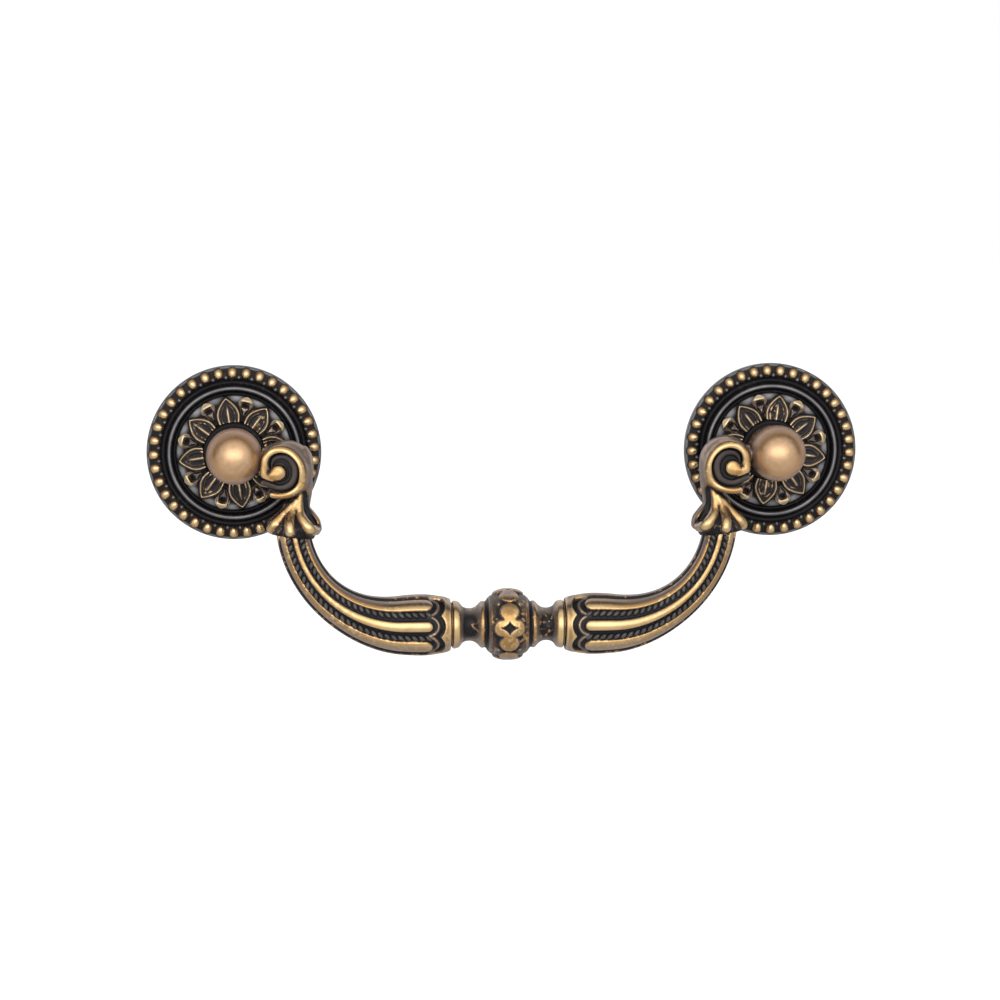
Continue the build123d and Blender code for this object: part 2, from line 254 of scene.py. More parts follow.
def blended(tree, share, first, second):
    """One colour fading into another as share goes from 0 to 1."""
    values = {"Factor_Float": share, "A_Color": first, "B_Color": second}
    return make(tree, "ShaderNodeMix", values, output=RESULT_COLOUR, data_type="RGBA")


def blank_material(name):
    """A new material with an empty node tree."""
    material = bpy.data.materials.new(name)
    material.use_nodes = True
    material.node_tree.nodes.clear()
    return material, material.node_tree

# %% [markdown]
# ## Antique brass, rubbed by hand
# The finish has three layers: nearly black patina in the hollows, a mauve brown where the rubbing
# has thinned it, and yellow brass on the crests. One metal colour with a dirt mask would look
# painted on, because patina is also duller and less metallic than brass. So one measure, made of
# the raised attribute and two sizes of noise, drives colour, metal and roughness together, and what
# faces aside gets a painted sheen: a smoky colour that stands in for light reflected at a glance.

# %% The rubbed brass
def noise(tree, place, scale, detail):
    return make(tree, "ShaderNodeTexNoise", {"Vector": place, "Scale": scale, "Detail": detail})


def rubbed_brass(name, tones, full, spots=1.4, satin=(0.40, 0.32, 0.28), dull=0.44, shine=0.32):
    """Brass under patina. Tones are patina, brown, brass and bright, a point that stands out by
    full mm is bare, spots are nicks, and the sheen tone is the colour of a painted reflection on
    what faces aside."""
    material, tree = blank_material(name)
    place = make(tree, "ShaderNodeTexCoord", output="Object")
    raised, aside = (make(tree, "ShaderNodeAttribute", output="Fac", attribute_name=label)
                     for label in ("raised", "aside"))
    cloud = noise(tree, place, 260.0, 4.0)
    speck = noise(tree, place, 1500.0, 3.0)
    grain = noise(tree, place, 5200.0, 2.0)
    nick = speck.between(0.52, 0.62) * cloud.between(0.43, 0.57) * raised.between(-0.13, -0.08)
    rub = raised + (cloud - 0.5) * (full * 0.9) + (speck - 0.5) * (full * 0.7)
    rub = rub + nick * (spots * full)
    thin = rub.between(-0.55 * full, 0.35 * full)
    bare = rub.between(0.1 * full, full)
    crest = rub.between(full, 2.6 * full)
    patina, brown, brass, bright = ((*tone, 1.0) for tone in tones)
    colour = blended(tree, thin, patina, brown)
    colour = blended(tree, bare, colour, brass)
    colour = blended(tree, crest * 0.8, colour, bright)
    worn = cloud.between(0.35, 0.7) * bare * 0.3
    colour = blended(tree, worn, colour, (*(0.55 * v for v in tones[2]), 1.0))
    # Painted sheen: a smoky colour that stands in for reflected light where a point faces aside.
    sheen_share = aside * (0.72 + (cloud - 0.5) * 0.9)
    colour = blended(tree, sheen_share, colour, (*satin, 1.0))
    metal = bare + sheen_share - bare * sheen_share
    bump = make(tree, "ShaderNodeBump", {
        "Strength": 0.25, "Distance": 0.00006,
        "Height": grain * 0.6 + speck * (1.0 - bare * 0.7),
    })
    surface = make(tree, "ShaderNodeBsdfPrincipled", {
        "Base Color": colour, "Metallic": 0.25 + metal * 0.75, "Normal": bump,
        "Roughness": dull - bare * 0.12 + (speck - 0.5) * 0.16 - sheen_share * 0.08,
        "Specular IOR Level": shine,
    })
    make(tree, "ShaderNodeOutputMaterial", {"Surface": surface}, output=None)
    return material


PATINA = (0.0085, 0.0075, 0.0095)
BROWN = (0.085, 0.055, 0.045)
GREY = (0.075, 0.070, 0.072)
BRASS = (0.50, 0.295, 0.115)
BRIGHT = (0.90, 0.66, 0.35)
bail_brass = rubbed_brass("rubbed_brass_bail", (PATINA, BROWN, BRASS, BRIGHT), 0.12)
bead_brass = rubbed_brass("rubbed_brass_beads", (
    PATINA, BROWN, (0.56, 0.34, 0.155), (0.95, 0.74, 0.45)), 0.12, spots=0.2)
petal_brass = rubbed_brass("rubbed_brass_petals", (
    PATINA, BROWN, (0.40, 0.28, 0.15), (0.80, 0.64, 0.42)), 0.14)
plate_brass = rubbed_brass("blackened_plate", (PATINA, GREY, BRASS, BRIGHT), 0.16, spots=0.2,
                           satin=(0.33, 0.325, 0.33), shine=0.2)
rope_brass = rubbed_brass("rubbed_brass_rope", (PATINA, GREY, BRASS, BRIGHT), 0.14, spots=0.15,
                          satin=(0.34, 0.31, 0.31), shine=0.25)
finishes = (bail_brass, bead_brass, petal_brass, plate_brass, rope_brass)
print("finishes:", [finish.name for finish in finishes])

# %% [markdown]
# ## The reeded arms
# Each arm of the bail is a bar that swells to 10.8 mm, bends up through a quarter circle and thins
# towards the ball. Three rounded reeds run along its front and three along its back, between plain
# bands above and below, and they start in a scalloped collar. A curve with a bevel could bend the
# bar, but its section has to change along the way. So the arm is a tube of points: rings follow the
# bend, and one formula says how deep each point lies below the bar.

# %% The line and thickness of an arm
BAR_DROP, BEND_RADIUS, BEND_START, BEND_ANGLE = 30.0, 19.0, 18.6, 85.0
PIVOT_DEPTH = -10.5
ARM_START = 9.5
BELLY_AT, BELLY_RADIUS, END_RADIUS = 15.2, 5.42, 3.0
TO_FRONT = np.array([0.0, -1.0, 0.0])


def arm_line(distance):
    """Points of the middle line, and the direction towards the inside of the bend."""
    turn = np.clip((distance - (BEND_START - ARM_START)) / BEND_RADIUS, 0.0, None)
    straight = np.minimum(ARM_START + distance, BEND_START)
    x = straight + BEND_RADIUS * np.sin(turn) + 0.27 * soft_step(10.0, 26.0, distance)
    z = -BAR_DROP + BEND_RADIUS * (1.0 - np.cos(turn))
    inner = np.stack([-np.sin(turn), np.zeros_like(x), np.cos(turn)], axis=-1)
    return np.stack([x, np.full_like(x, PIVOT_DEPTH), z], axis=-1), inner


def arm_thickness(distance):
    """Radius over the reeds: a swelling from the collar, then a long taper."""
    travelled = ARM_START + distance
    swelling = BELLY_RADIUS - 1.07 * np.clip((BELLY_AT - travelled) / 5.7, 0.0, 1.0) ** 1.9
    thinning = np.exp(-((np.clip(travelled - BELLY_AT, 0.0, None) / 12.8) ** 2))
    taper = END_RADIUS + (BELLY_RADIUS - END_RADIUS) * thinning
    return np.where(travelled < BELLY_AT, swelling, taper)


ARM_LENGTH = (BEND_START - ARM_START) + BEND_RADIUS * math.radians(BEND_ANGLE)
print("length of an arm along its bend in mm:", round(ARM_LENGTH, 2))

# %% The carving: reeds, flutes, bands and collar
REED_DEPTH = 0.78
REED_START = 13.36
REEDS = ((0.0, 11.2), (48.0, 16.0))  # degrees from the front, and half the width in degrees
REED_CIRCLE = 5.4  # the radius on which degrees become millimetres
BAND_EDGE = 69.5
COLLAR_EDGE = 10.2
TWIST = 2.5


def from_face(angle):
    """Degrees from the front or the back of the arm, whichever is nearer."""
    off = np.abs((np.degrees(angle) - TWIST + 180.0) % 360.0 - 180.0)
    return np.minimum(off, 180.0 - off)


def arm_depth(distance, angle):
    """How far the carving lies below the bar, in mm, and the height of the lip round each reed."""
    travelled = ARM_START + distance
    size = arm_thickness(distance) / REED_CIRCLE
    off = from_face(angle)
    height = soft_step(BAND_EDGE - 1.5, BAND_EDGE + 2.5, off)
    nearest = np.full_like(travelled, 9.0)
    for middle, half in REEDS:
        width = np.radians(half - 1.8 * soft_step(24.0, 38.0, travelled)) * REED_CIRCLE
        side = np.radians(off - middle) * REED_CIRCLE
        reach = np.hypot(side, np.clip(REED_START + width - travelled, 0.0, None))
        crown = 0.56 + 0.44 * np.sqrt(np.clip(1.0 - (reach / width) ** 2, 0.0, None))
        wall = 1.0 - soft_step(width - 0.1, width + 0.1, reach)
        height = np.maximum(height, crown * wall)
        nearest = np.minimum(nearest, reach - width)
    lip = 0.4 * np.exp(-(((nearest - 0.98) / 0.26) ** 2)) * soft_step(14.7, 13.7, travelled)
    ledge = 0.3 * soft_step(63.0, 65.0, off) * soft_step(13.6, 15.0, travelled)
    edge = soft_step(2.0, 2.22, nearest) * soft_step(13.4, 12.9, travelled)
    bow = 1.0 + 0.1 * np.sin(np.clip((travelled - 9.8) / 2.4, 0.0, 1.0) * math.pi)
    height = np.maximum(np.maximum(height, lip), np.maximum(ledge, edge * bow))
    return REED_DEPTH * size * (1.0 - height * soft_step(10.0, COLLAR_EDGE, travelled)), lip

# %% Carve both arms
ALONG_ARM, ROUND_ARM = 214, 208
COLLAR_ROWS, COLLAR_LENGTH = 66, 5.4
arm_distance = np.concatenate([
    np.linspace(0.0, COLLAR_LENGTH, COLLAR_ROWS),
    np.linspace(COLLAR_LENGTH, ARM_LENGTH - 0.3, ALONG_ARM - COLLAR_ROWS + 1)[1:]])
arm_angle = np.linspace(0.0, 2 * math.pi, ROUND_ARM, endpoint=False)
along, turned = np.meshgrid(arm_distance, arm_angle, indexing="ij")
middle_line, inner = arm_line(along)
outward = np.cos(turned)[..., None] * TO_FRONT + np.sin(turned)[..., None] * inner
depth, arm_lip = arm_depth(along, turned)
arm = closed_tube(middle_line + outward * (arm_thickness(along) - depth)[..., None])
arm_raised, arm_painted_sheen = standing_out(*arm, 60, side=(0.12, 0.4), under=0.1)

travelled = with_ends(along, (0.0, ARM_LENGTH)) + ARM_START
in_flute = with_ends(depth, (1.0, 1.0)) > 0.34
on_lip = with_ends(arm_lip) > 0.12
band = soft_step(65.0, 67.5, with_ends(from_face(turned))) * soft_step(13.0, 14.2, travelled)
underneath = with_ends(np.sin(turned - math.radians(TWIST))) < 0.0
arm_raised -= 0.12 * in_flute + 0.1 * band
arm_raised -= 0.4 * soft_step(COLLAR_EDGE + 0.02, COLLAR_EDGE - 0.15, travelled)
arm_raised -= 0.22 * soft_step(-16.4, -14.2, arm[0][:, 2])  # in the shade of the husk
# The band underneath loses most of its painted sheen, the flutes lose all of it, and the lip round
# each reed gets some.
arm_painted_sheen *= 1.0 - 0.8 * band * underneath
arm_painted_sheen = np.maximum(0.9 * arm_painted_sheen * (1.0 - in_flute), 0.6 * on_lip)
arms = pair_of("bail_arm", arm, bail_brass, raised=arm_raised, aside=arm_painted_sheen)
print("raised from", round(arm_raised.min(), 2), "to", round(arm_raised.max(), 2), "mm")

# %% [markdown]
# ## Rope lines in the flutes
# In each flute between two reeds lies a fine twisted cord, cast with the bail. It could be a bump
# texture, but it shows at the edge of the arm too. It repeats along a path, so Geometry Nodes make
# it: the tree walks along lines drawn in the flutes, sets a leaning strand every 1.2 mm, and the
# copies are turned into one plain mesh at the end. Its sizes are in metres, as always in Blender.

# %% A tree that lays strands along lines
def new_tree(name, sockets):
    """An empty Geometry Nodes tree with named inputs, given as name: (socket type, value)."""
    tree = bpy.data.node_groups.new(name, "GeometryNodeTree")
    for label, (kind, value) in sockets.items():
        socket = tree.interface.new_socket(label, in_out="INPUT", socket_type=kind)
        if value is not None:
            socket.default_value = value
    tree.interface.new_socket("Geometry", in_out="OUTPUT", socket_type="NodeSocketGeometry")
    entry = tree.nodes.new("NodeGroupInput")
    wires = {s.name: Wire(tree, s) for s in entry.outputs if s.name}
    return tree, wires


def close_tree(tree, geometry, finish):
    """Ends a tree the way that the export needs: no instances left, and a material set."""
    real = make(tree, "GeometryNodeRealizeInstances", {"Geometry": geometry})
    done = make(tree, "GeometryNodeSetMaterial", {"Geometry": real, "Material": finish})
    make(tree, "NodeGroupOutput", {"Geometry": done}, output=None)


strand_tree, given = new_tree("strands_along_lines", {
    "Geometry": ("NodeSocketGeometry", None), "Spacing": ("NodeSocketFloat", 0.0012),
    "Length": ("NodeSocketFloat", 0.0017), "Width": ("NodeSocketFloat", 0.00086),
    "Height": ("NodeSocketFloat", 0.0009), "Lean": ("NodeSocketFloat", math.radians(40.0)),
    "Finish": ("NodeSocketMaterial", None),
})
add = partial(make, strand_tree)
lines = add("GeometryNodeMeshToCurve", {"Mesh": given["Geometry"]})
lines = add("GeometryNodeResampleCurve", {"Curve": lines, "Length": given["Spacing"]},
            mode="LENGTH")
lump = add("GeometryNodeMeshUVSphere", {"Segments": 9, "Rings": 6, "Radius": 0.5})
lump = add("GeometryNodeSetShadeSmooth", {"Geometry": lump})
height = add("ShaderNodeSeparateXYZ", {"Vector": add("GeometryNodeInputPosition")}, output="Z")
# The top of each strand stands out more, and gets a painted sheen.
for label, value in (("raised", height * 0.2 - 0.13), ("aside", height * 0.75)):
    lump = add("GeometryNodeStoreNamedAttribute",
               {"Geometry": lump, "Name": label, "Value": value}, data_type="FLOAT")
size = add("ShaderNodeCombineXYZ",
           {"X": given["Length"], "Y": given["Width"], "Z": given["Height"]})
up = add("GeometryNodeInputNamedAttribute", {"Name": "outward"}, data_type="FLOAT_VECTOR")
stand = add("FunctionNodeAxesToRotation",
            {"Primary Axis": up, "Secondary Axis": add("GeometryNodeInputTangent")},
            primary_axis="Z", secondary_axis="X")
lean = add("FunctionNodeAxisAngleToRotation", {"Axis": (0.0, 0.0, 1.0), "Angle": given["Lean"]})
stand = add("FunctionNodeRotateRotation", {"Rotation": stand, "Rotate By": lean},
            rotation_space="LOCAL")
strands = add("GeometryNodeInstanceOnPoints",
              {"Points": lines, "Instance": lump, "Rotation": stand, "Scale": size})
close_tree(strand_tree, strands, given["Finish"])
print("nodes in the strand tree:", len(strand_tree.nodes))

# %% Run a tree once and keep a plain mesh
def run_tree(name, tree, inputs, start=None):
    """A new object with the mesh that the tree makes from these inputs, and no modifier left."""
    maker = bpy.data.objects.new(name + "_maker", start or bpy.data.meshes.new(name + "_start"))
    bpy.context.scene.collection.objects.link(maker)
    modifier = maker.modifiers.new("made", "NODES")
    modifier.node_group = tree
    for item in tree.interface.items_tree:
        if item.item_type == "SOCKET" and item.in_out == "INPUT" and item.name in inputs:
            modifier[item.identifier] = inputs[item.name]
    bpy.context.view_layer.update()
    shaped = maker.evaluated_get(bpy.context.evaluated_depsgraph_get())
    mesh = bpy.data.meshes.new_from_object(shaped)
    mesh.name = name
    bpy.data.objects.remove(maker)
    piece = bpy.data.objects.new(name, mesh)
    bpy.context.scene.collection.objects.link(piece)
    print(f"{name}: {sum(len(p.vertices) - 2 for p in mesh.polygons)} triangles")
    return piece

# %% Lay the cords in the flutes
CORD_ANGLES = [TWIST + side * off for off in (25.6, 154.4) for side in (-1, 1)]


def cord_lines(name, flip):
    """Four open lines on the floor of the flutes, each point knowing which way is outward."""
    distance = np.linspace(14.15 - ARM_START, ARM_LENGTH - 0.8, 150)
    middle, inside = arm_line(distance)
    floor = arm_thickness(distance) * (1.0 - REED_DEPTH / REED_CIRCLE) + 0.02
    points, ways, edges = [], [], []
    for angle in np.radians(CORD_ANGLES):
        out = math.cos(angle) * TO_FRONT + math.sin(angle) * inside
        first = len(points) * len(distance)
        points.append(middle + out * floor[:, None])
        ways.append(out)
        edges += [(first + k, first + k + 1) for k in range(len(distance) - 1)]
    points, ways = np.vstack(points), np.vstack(ways)
    if flip:
        points, ways = mirrored(points), mirrored(ways)
    mesh = bpy.data.meshes.new(name)
    mesh.from_pydata((points * MM).tolist(), edges, [])
    layer = mesh.attributes.new("outward", "FLOAT_VECTOR", "POINT")
    layer.data.foreach_set("vector", ways.astype(np.float32).ravel())
    return mesh


cords = []
for side, flip in (("right", False), ("left", True)):
    strand = {"Lean": math.radians(-40.0 if flip else 40.0), "Finish": rope_brass}
    path = cord_lines(f"lines_{side}", flip)
    cords.append(run_tree(f"bail_cord_{side}", strand_tree, strand, path))

# %% [markdown]
# ## The turned middle with its quatrefoils
# Between the arms sits a knob with four cast quatrefoils, flanked by rings and waisted necks. It
# could be a lathe shape with separate foils laid on it, but in a casting they grow out of the knob
# without a seam. So one grid is turned round the bar, and the foils and their four-pointed stars
# are raised and sunk in it by formula.

# %% The turned outline
MIDDLE_OUTLINE = [
    (0.0, 5.9), (1.0, 5.84), (1.9, 5.64), (2.6, 5.34), (3.0, 5.1), (3.3, 4.92), (3.46, 4.8),
    (3.62, 4.62), (3.78, 4.3), (3.94, 4.06), (4.08, 4.0), (4.22, 4.1), (4.42, 4.18), (4.66, 4.16),
    (4.88, 4.05), (5.04, 3.84), (5.24, 3.58), (5.54, 3.32), (5.9, 3.07), (6.35, 2.92), (6.87, 2.88),
    (7.37, 2.94), (7.86, 3.12), (8.16, 3.38), (8.36, 3.7), (8.54, 3.98), (8.86, 4.15), (9.3, 4.25),
    (9.6, 4.28), (9.76, 4.2), (9.84, 3.98), (9.9, 3.8),
]
FOIL_RISE, STAR_DEPTH, FOIL_MELT = 0.42, 0.8, 0.5


def foil_height(x, arc):
    """How far the quatrefoil stands above the knob, in mm, at x along the bar and arc round it."""
    x = np.abs(x)
    arc = np.abs(arc)
    above = 1.85 * (1.0 - np.hypot(x / 1.84, (arc - 3.0) / 1.86))
    beside = 1.5 * (1.0 - np.hypot((x - 1.45) / 1.42, arc / 1.68))
    heart = 1.7 * (1.0 - np.hypot(x, arc) / 1.9)
    inside = np.maximum(above, beside)
    share = np.clip(0.5 + 0.5 * (inside - heart) / FOIL_MELT, 0.0, 1.0)
    inside = heart + (inside - heart) * share + FOIL_MELT * share * (1.0 - share)
    lobe = FOIL_RISE * soft_step(-0.04, 0.3, inside) + 0.05 * soft_step(0.2, 1.2, inside)
    star = (x / 1.36) ** 0.72 + (arc / 1.12) ** 0.72
    rim = 0.05 * np.exp(-(((x - 3.1) / 0.13) ** 2))
    dot = 0.3 * np.exp(-(((x - 1.9) ** 2 + (arc - 4.87) ** 2) / 0.09))
    return np.maximum(lobe, np.maximum(rim, dot)) - STAR_DEPTH * soft_step(1.12, 0.86, star)

# %% Turn it and raise the foils
KNOB_END, MIDDLE_END = 3.3, 9.9
FOIL_CIRCLE = 6.2  # the radius on which angles become millimetres
half = np.concatenate([np.linspace(0.0, KNOB_END, 38),
                       np.linspace(KNOB_END, MIDDLE_END, 66)[1:]])
middle_x = np.concatenate([-half[:0:-1], half])
profile = np.interp(np.abs(middle_x), *np.array(MIDDLE_OUTLINE).T)
profile[2:-2] = np.convolve(profile, np.array([1.0, 2.0, 3.0, 2.0, 1.0]) / 9.0, "valid")
turn_angle = np.linspace(0.0, 2 * math.pi, 248, endpoint=False)
xs, angles = np.meshgrid(middle_x, turn_angle, indexing="ij")
quarter = (angles + math.pi / 4) % (math.pi / 2) - math.pi / 4
foils = foil_height(xs, quarter * FOIL_CIRCLE)
fade = soft_step(KNOB_END + 0.1, KNOB_END - 0.1, np.abs(xs))
reach = profile[:, None] + fade * foils
middle = closed_tube(np.stack([xs, PIVOT_DEPTH - reach * np.cos(angles),
                               -BAR_DROP + reach * np.sin(angles)], axis=-1))
middle_raised, middle_painted_sheen = standing_out(*middle, 60)

# %% Darken its hollows
off_foils = with_ends(fade) * soft_step(0.3, 0.1, with_ends(foils))
station = with_ends(np.abs(xs), (MIDDLE_END, MIDDLE_END))
cove = soft_step(3.42, 3.55, station) * soft_step(4.2, 4.08, station)
neck = soft_step(5.0, 5.4, station) * soft_step(8.4, 8.1, station)
middle_raised -= 0.03 * off_foils + 0.4 * soft_step(9.72, 9.82, station) + 0.12 * cove
middle_raised = np.maximum(middle_raised, -0.08 * neck - 0.9 * (1.0 - neck))
# Less painted sheen off the foils, in the cove and on the necks.
middle_painted_sheen *= (1.0 - 0.6 * off_foils) * (1.0 - cove) * (1.0 - 0.3 * neck)
middle_piece = piece_of("bail_middle", *middle, bail_brass, raised=middle_raised,
                        aside=middle_painted_sheen)

# %% [markdown]
# ## Scrolls sculpted with distances
# Above each arm the bail flares into a leaf husk, narrows to a stem and rolls up in a scroll. Such
# flowing shapes could be sculpted by hand, or remeshed from overlapping lumps. Here they are drawn
# as rounded rods along smooth paths, held as a field of distances on a fine grid. Rods melt into
# each other where they meet, grooves are rods taken away, and the surface is read where the
# distance is zero. Front and back are alike, so only the front half is worked out. Its depth is
# measured from the middle of the bail.

# %% Rods in a field of distances
STEP = 0.115
FIELD_LOW = np.array([31.9, 0.0, -17.6])
FIELD_SIZE = np.array([98, 48, 186])
field_axes = [FIELD_LOW[k] + STEP * np.arange(FIELD_SIZE[k]) for k in range(3)]


def smooth_path(knots, steps=6):
    """A Catmull-Rom curve through rows of x, depth, z, radius."""
    knots = np.array(knots, float)
    ends = np.vstack([2 * knots[0] - knots[1], knots, 2 * knots[-1] - knots[-2]])
    share = np.linspace(0.0, 1.0, steps, endpoint=False)[:, None]
    rows = []
    for a, b, c, d in zip(ends, ends[1:], ends[2:], ends[3:]):
        rows.append(0.5 * (2 * b + (c - a) * share + (2 * a - 5 * b + 4 * c - d) * share**2
                           + (3 * b - a - 3 * c + d) * share**3))
    return np.vstack(rows + [knots[-1:]])


def rod(knots, flat=1.0, margin=1.2, steps=6):
    """Distance to a rod along a path; flat stretches it in depth. Far away it is just margin."""
    path = smooth_path(knots, steps)
    field = np.full(FIELD_SIZE, margin, np.float32)
    for a, b in zip(path, path[1:]):
        reach = max(a[3], b[3]) + margin
        around = np.array([reach, reach * flat, reach])
        low = np.floor((np.minimum(a[:3], b[:3]) - around - FIELD_LOW) / STEP).astype(int)
        high = np.ceil((np.maximum(a[:3], b[:3]) + around - FIELD_LOW) / STEP).astype(int) + 1
        box = tuple(slice(max(l, 0), max(min(h, n), 0)) for l, h, n in zip(low, high, FIELD_SIZE))
        x, y, z = np.meshgrid(*(axis[part] for axis, part in zip(field_axes, box)), indexing="ij")
        way = (b - a)[:3] / (1.0, flat, 1.0)
        off = [x - a[0], (y - a[1]) / flat, z - a[2]]
        share = (off[0] * way[0] + off[1] * way[1] + off[2] * way[2]) / (way @ way + 1e-9)
        share = np.clip(share, 0.0, 1.0)
        gap = np.sqrt(sum((o - share * w) ** 2 for o, w in zip(off, way)))
        gap -= a[3] + (b[3] - a[3]) * share
        field[box] = np.minimum(field[box], gap)
    return field


def joined(first, second, melt):
    """Both shapes, with a fillet where they meet."""
    share = np.clip(0.5 + 0.5 * (second - first) / melt, 0.0, 1.0)
    return second + (first - second) * share - melt * share * (1.0 - share)


def without(first, second, melt):
    """The first shape less the second, with softened edges."""
    return -joined(-first, second, melt)


print("points in half a field:", int(np.prod(FIELD_SIZE)))

# %% The disc and its crest
X, Y, Z = (grid.astype(np.float32) for grid in np.meshgrid(*field_axes, indexing="ij"))
DISC_X, DISC_TOP, DISC_LOW = 38.55, -1.3, -1.95
DISC_RADIUS, DISC_HALF, DISC_ROUNDING = 4.42, 2.15, 1.7
rim_reach = np.hypot(X - DISC_X, Z - np.clip(Z, DISC_LOW, DISC_TOP))
rim_reach = rim_reach - (DISC_RADIUS - DISC_ROUNDING)
side_reach = Y - (DISC_HALF - DISC_ROUNDING)
disc = np.hypot(np.maximum(rim_reach, 0.0), np.maximum(side_reach, 0.0)) - DISC_ROUNDING
disc = disc + np.minimum(np.maximum(rim_reach, side_reach), 0.0)

crest = rod([
    (35.7, 2.35, -4.45, 0.7), (35.42, 2.5, -3.2, 0.78), (35.55, 2.6, -1.6, 0.84),
    (36.2, 2.65, -0.15, 0.86), (37.4, 2.65, 1.12, 0.86), (38.9, 2.6, 1.68, 0.88),
    (40.5, 2.55, 1.4, 0.88), (41.6, 2.45, 0.25, 0.88), (41.98, 2.35, -1.2, 0.86),
    (41.98, 2.3, -2.4, 0.86), (41.5, 2.25, -3.2, 0.78), (40.7, 2.2, -3.5, 0.68),
])
shoulder = rod([(35.5, 1.1, -5.3, 1.0), (35.6, 1.2, -3.1, 1.25), (36.0, 1.35, -1.0, 1.4),
                (37.0, 1.35, 0.85, 1.35), (38.45, 1.35, 1.65, 1.35), (40.0, 1.3, 1.35, 1.3),
                (41.2, 1.1, 0.2, 1.3), (41.5, 1.0, -1.7, 1.25), (41.2, 0.9, -3.4, 1.2)])
lip = rod([(35.7, 2.3, -4.45, 0.72), (36.7, 2.4, -5.4, 0.68), (38.2, 2.4, -6.12, 0.64),
           (39.8, 2.35, -6.35, 0.62), (41.0, 2.2, -6.2, 0.56)])
lip_body = rod([(35.9, 0.9, -5.0, 1.2), (37.2, 1.0, -5.6, 1.1), (39.0, 1.0, -5.9, 1.05),
                (40.8, 0.9, -5.8, 0.95)], flat=1.3)
scroll = joined(joined(disc, shoulder, 0.9), crest, 0.75)
scroll = joined(joined(scroll, lip_body, 0.6), lip, 0.35)
print("rods round the disc: 4")

# %% The groove, its ribbon and the eye
GROOVE = [
    (40.98, -1.5, 0.22), (40.88, -0.7, 0.5), (40.35, 0.1, 0.7), (39.3, 0.45, 0.8),
    (38.15, 0.2, 0.88), (37.28, -0.65, 0.95), (36.88, -1.6, 1.0), (36.86, -2.6, 1.0),
    (37.2, -3.7, 0.95), (37.9, -4.5, 0.9), (38.9, -4.9, 0.84), (40.0, -4.92, 0.8),
    (41.1, -4.5, 0.78), (42.4, -4.0, 0.78),
]
EYE_X, EYE_Z = 39.66, -2.3
GROOVE_FLOOR, RIBBON_TOP = 1.65, 2.3


def flat_track(share):
    """Distance to the groove's path, seen from the front, for a share of its width."""
    knots = [(x, 0.0, z, r * share) for x, z, r in GROOVE]
    return rod(knots, margin=1.6)[:, :1, :]


track, ribbon_track = flat_track(1.0), flat_track(0.66)
round_eye = np.maximum(np.hypot(X - 39.5, Z - EYE_Z) - 2.0, X - 40.5)[:, :1, :]
groove = np.maximum(np.minimum(track, round_eye), GROOVE_FLOOR - Y)
scroll = without(scroll, groove, 0.14)
ribbon = -joined(-ribbon_track, RIBBON_TOP - Y, 0.5)
scroll = joined(scroll, ribbon, 0.06)
across = np.sqrt((X - EYE_X) ** 2 + (Z - EYE_Z) ** 2) / 1.45
upward = np.abs(Y - 1.8) / 1.28
eye = 1.1 * ((across**3 + upward**3) ** (1.0 / 3.0) - 1.0)
bridge = rod([(40.1, 1.95, -2.65, 1.15), (40.9, 1.95, -2.75, 1.12), (41.6, 1.95, -2.65, 1.0)])
scroll = joined(scroll, joined(eye, bridge, 0.4), 0.12)
boss = np.maximum(np.hypot(Y, Z) - 1.6, np.maximum(X - 43.0, 39.0 - X))  # round the pivot pin
scroll = joined(scroll, boss, 0.25)
print("lowest distance in the scroll:", round(float(scroll.min()), 2), "mm")

# %% The bell of the husk, and its stem
TILT = math.radians(6.0)
BELL_X, BELL_Z = 37.6, -12.5
BELL = [(-3.4, 3.0), (-2.4, 3.15), (-1.7, 3.6), (-1.0, 4.15), (-0.35, 4.48), (0.3, 4.42),
        (0.9, 3.95), (1.6, 3.2), (2.3, 2.55), (3.2, 1.95), (4.2, 1.5), (5.2, 1.2)]
STEM = [(35.5, 0.0, -4.6, 1.25), (35.75, 0.0, -6.6, 1.25), (36.35, 0.0, -8.6, 1.35),
        (36.95, 0.0, -10.2, 1.4)]
STEM_FLAT = 1.65


def on_axis(x, z):
    """Height along the bell's leaning axis, distance beside it, and the bell's radius there."""
    rise = (x - BELL_X) * math.sin(TILT) + (z - BELL_Z) * math.cos(TILT)
    beside = (x - BELL_X) * math.cos(TILT) - (z - BELL_Z) * math.sin(TILT)
    return rise, beside, np.interp(rise, *np.array(BELL).T)


def on_bell(x, z, lift=0.0):
    """Depth of the husk's surface at a point seen from the front."""
    _, off, reach = on_axis(x, z)
    stem_middle = np.interp(z, [-10.4, -8.6, -6.6, -4.6], [36.95, 36.35, 35.75, 35.5])
    stem_reach = np.interp(z, [-11.6, -10.2, -8.6, -6.6], [0.2, 1.4, 1.35, 1.25])
    stem_depth = STEM_FLAT * math.sqrt(max(stem_reach**2 - (x - stem_middle) ** 2, 0.0))
    least = np.interp(z, [-10.4, -8.6], [0.0, 2.0])
    return max(math.sqrt(max(reach**2 - off**2, 0.0)), stem_depth, least) + lift


def leaf_rod(knots, lift):
    """A rod laid on the bell, from rows of x, z and radius."""
    return rod([(x, on_bell(x, z, lift), z, r) for x, z, r in knots])


rise, beside, bell_radius = on_axis(X, Z)
husk = (np.hypot(beside, Y) - bell_radius) * 0.72
husk = np.maximum(husk, np.maximum(rise - 4.6, 0.24 * beside - 1.5 - rise)).astype(np.float32)
husk = joined(husk, rod(STEM, flat=STEM_FLAT), 0.5)
print("lowest distance in the bell:", round(float(husk.min()), 2), "mm")

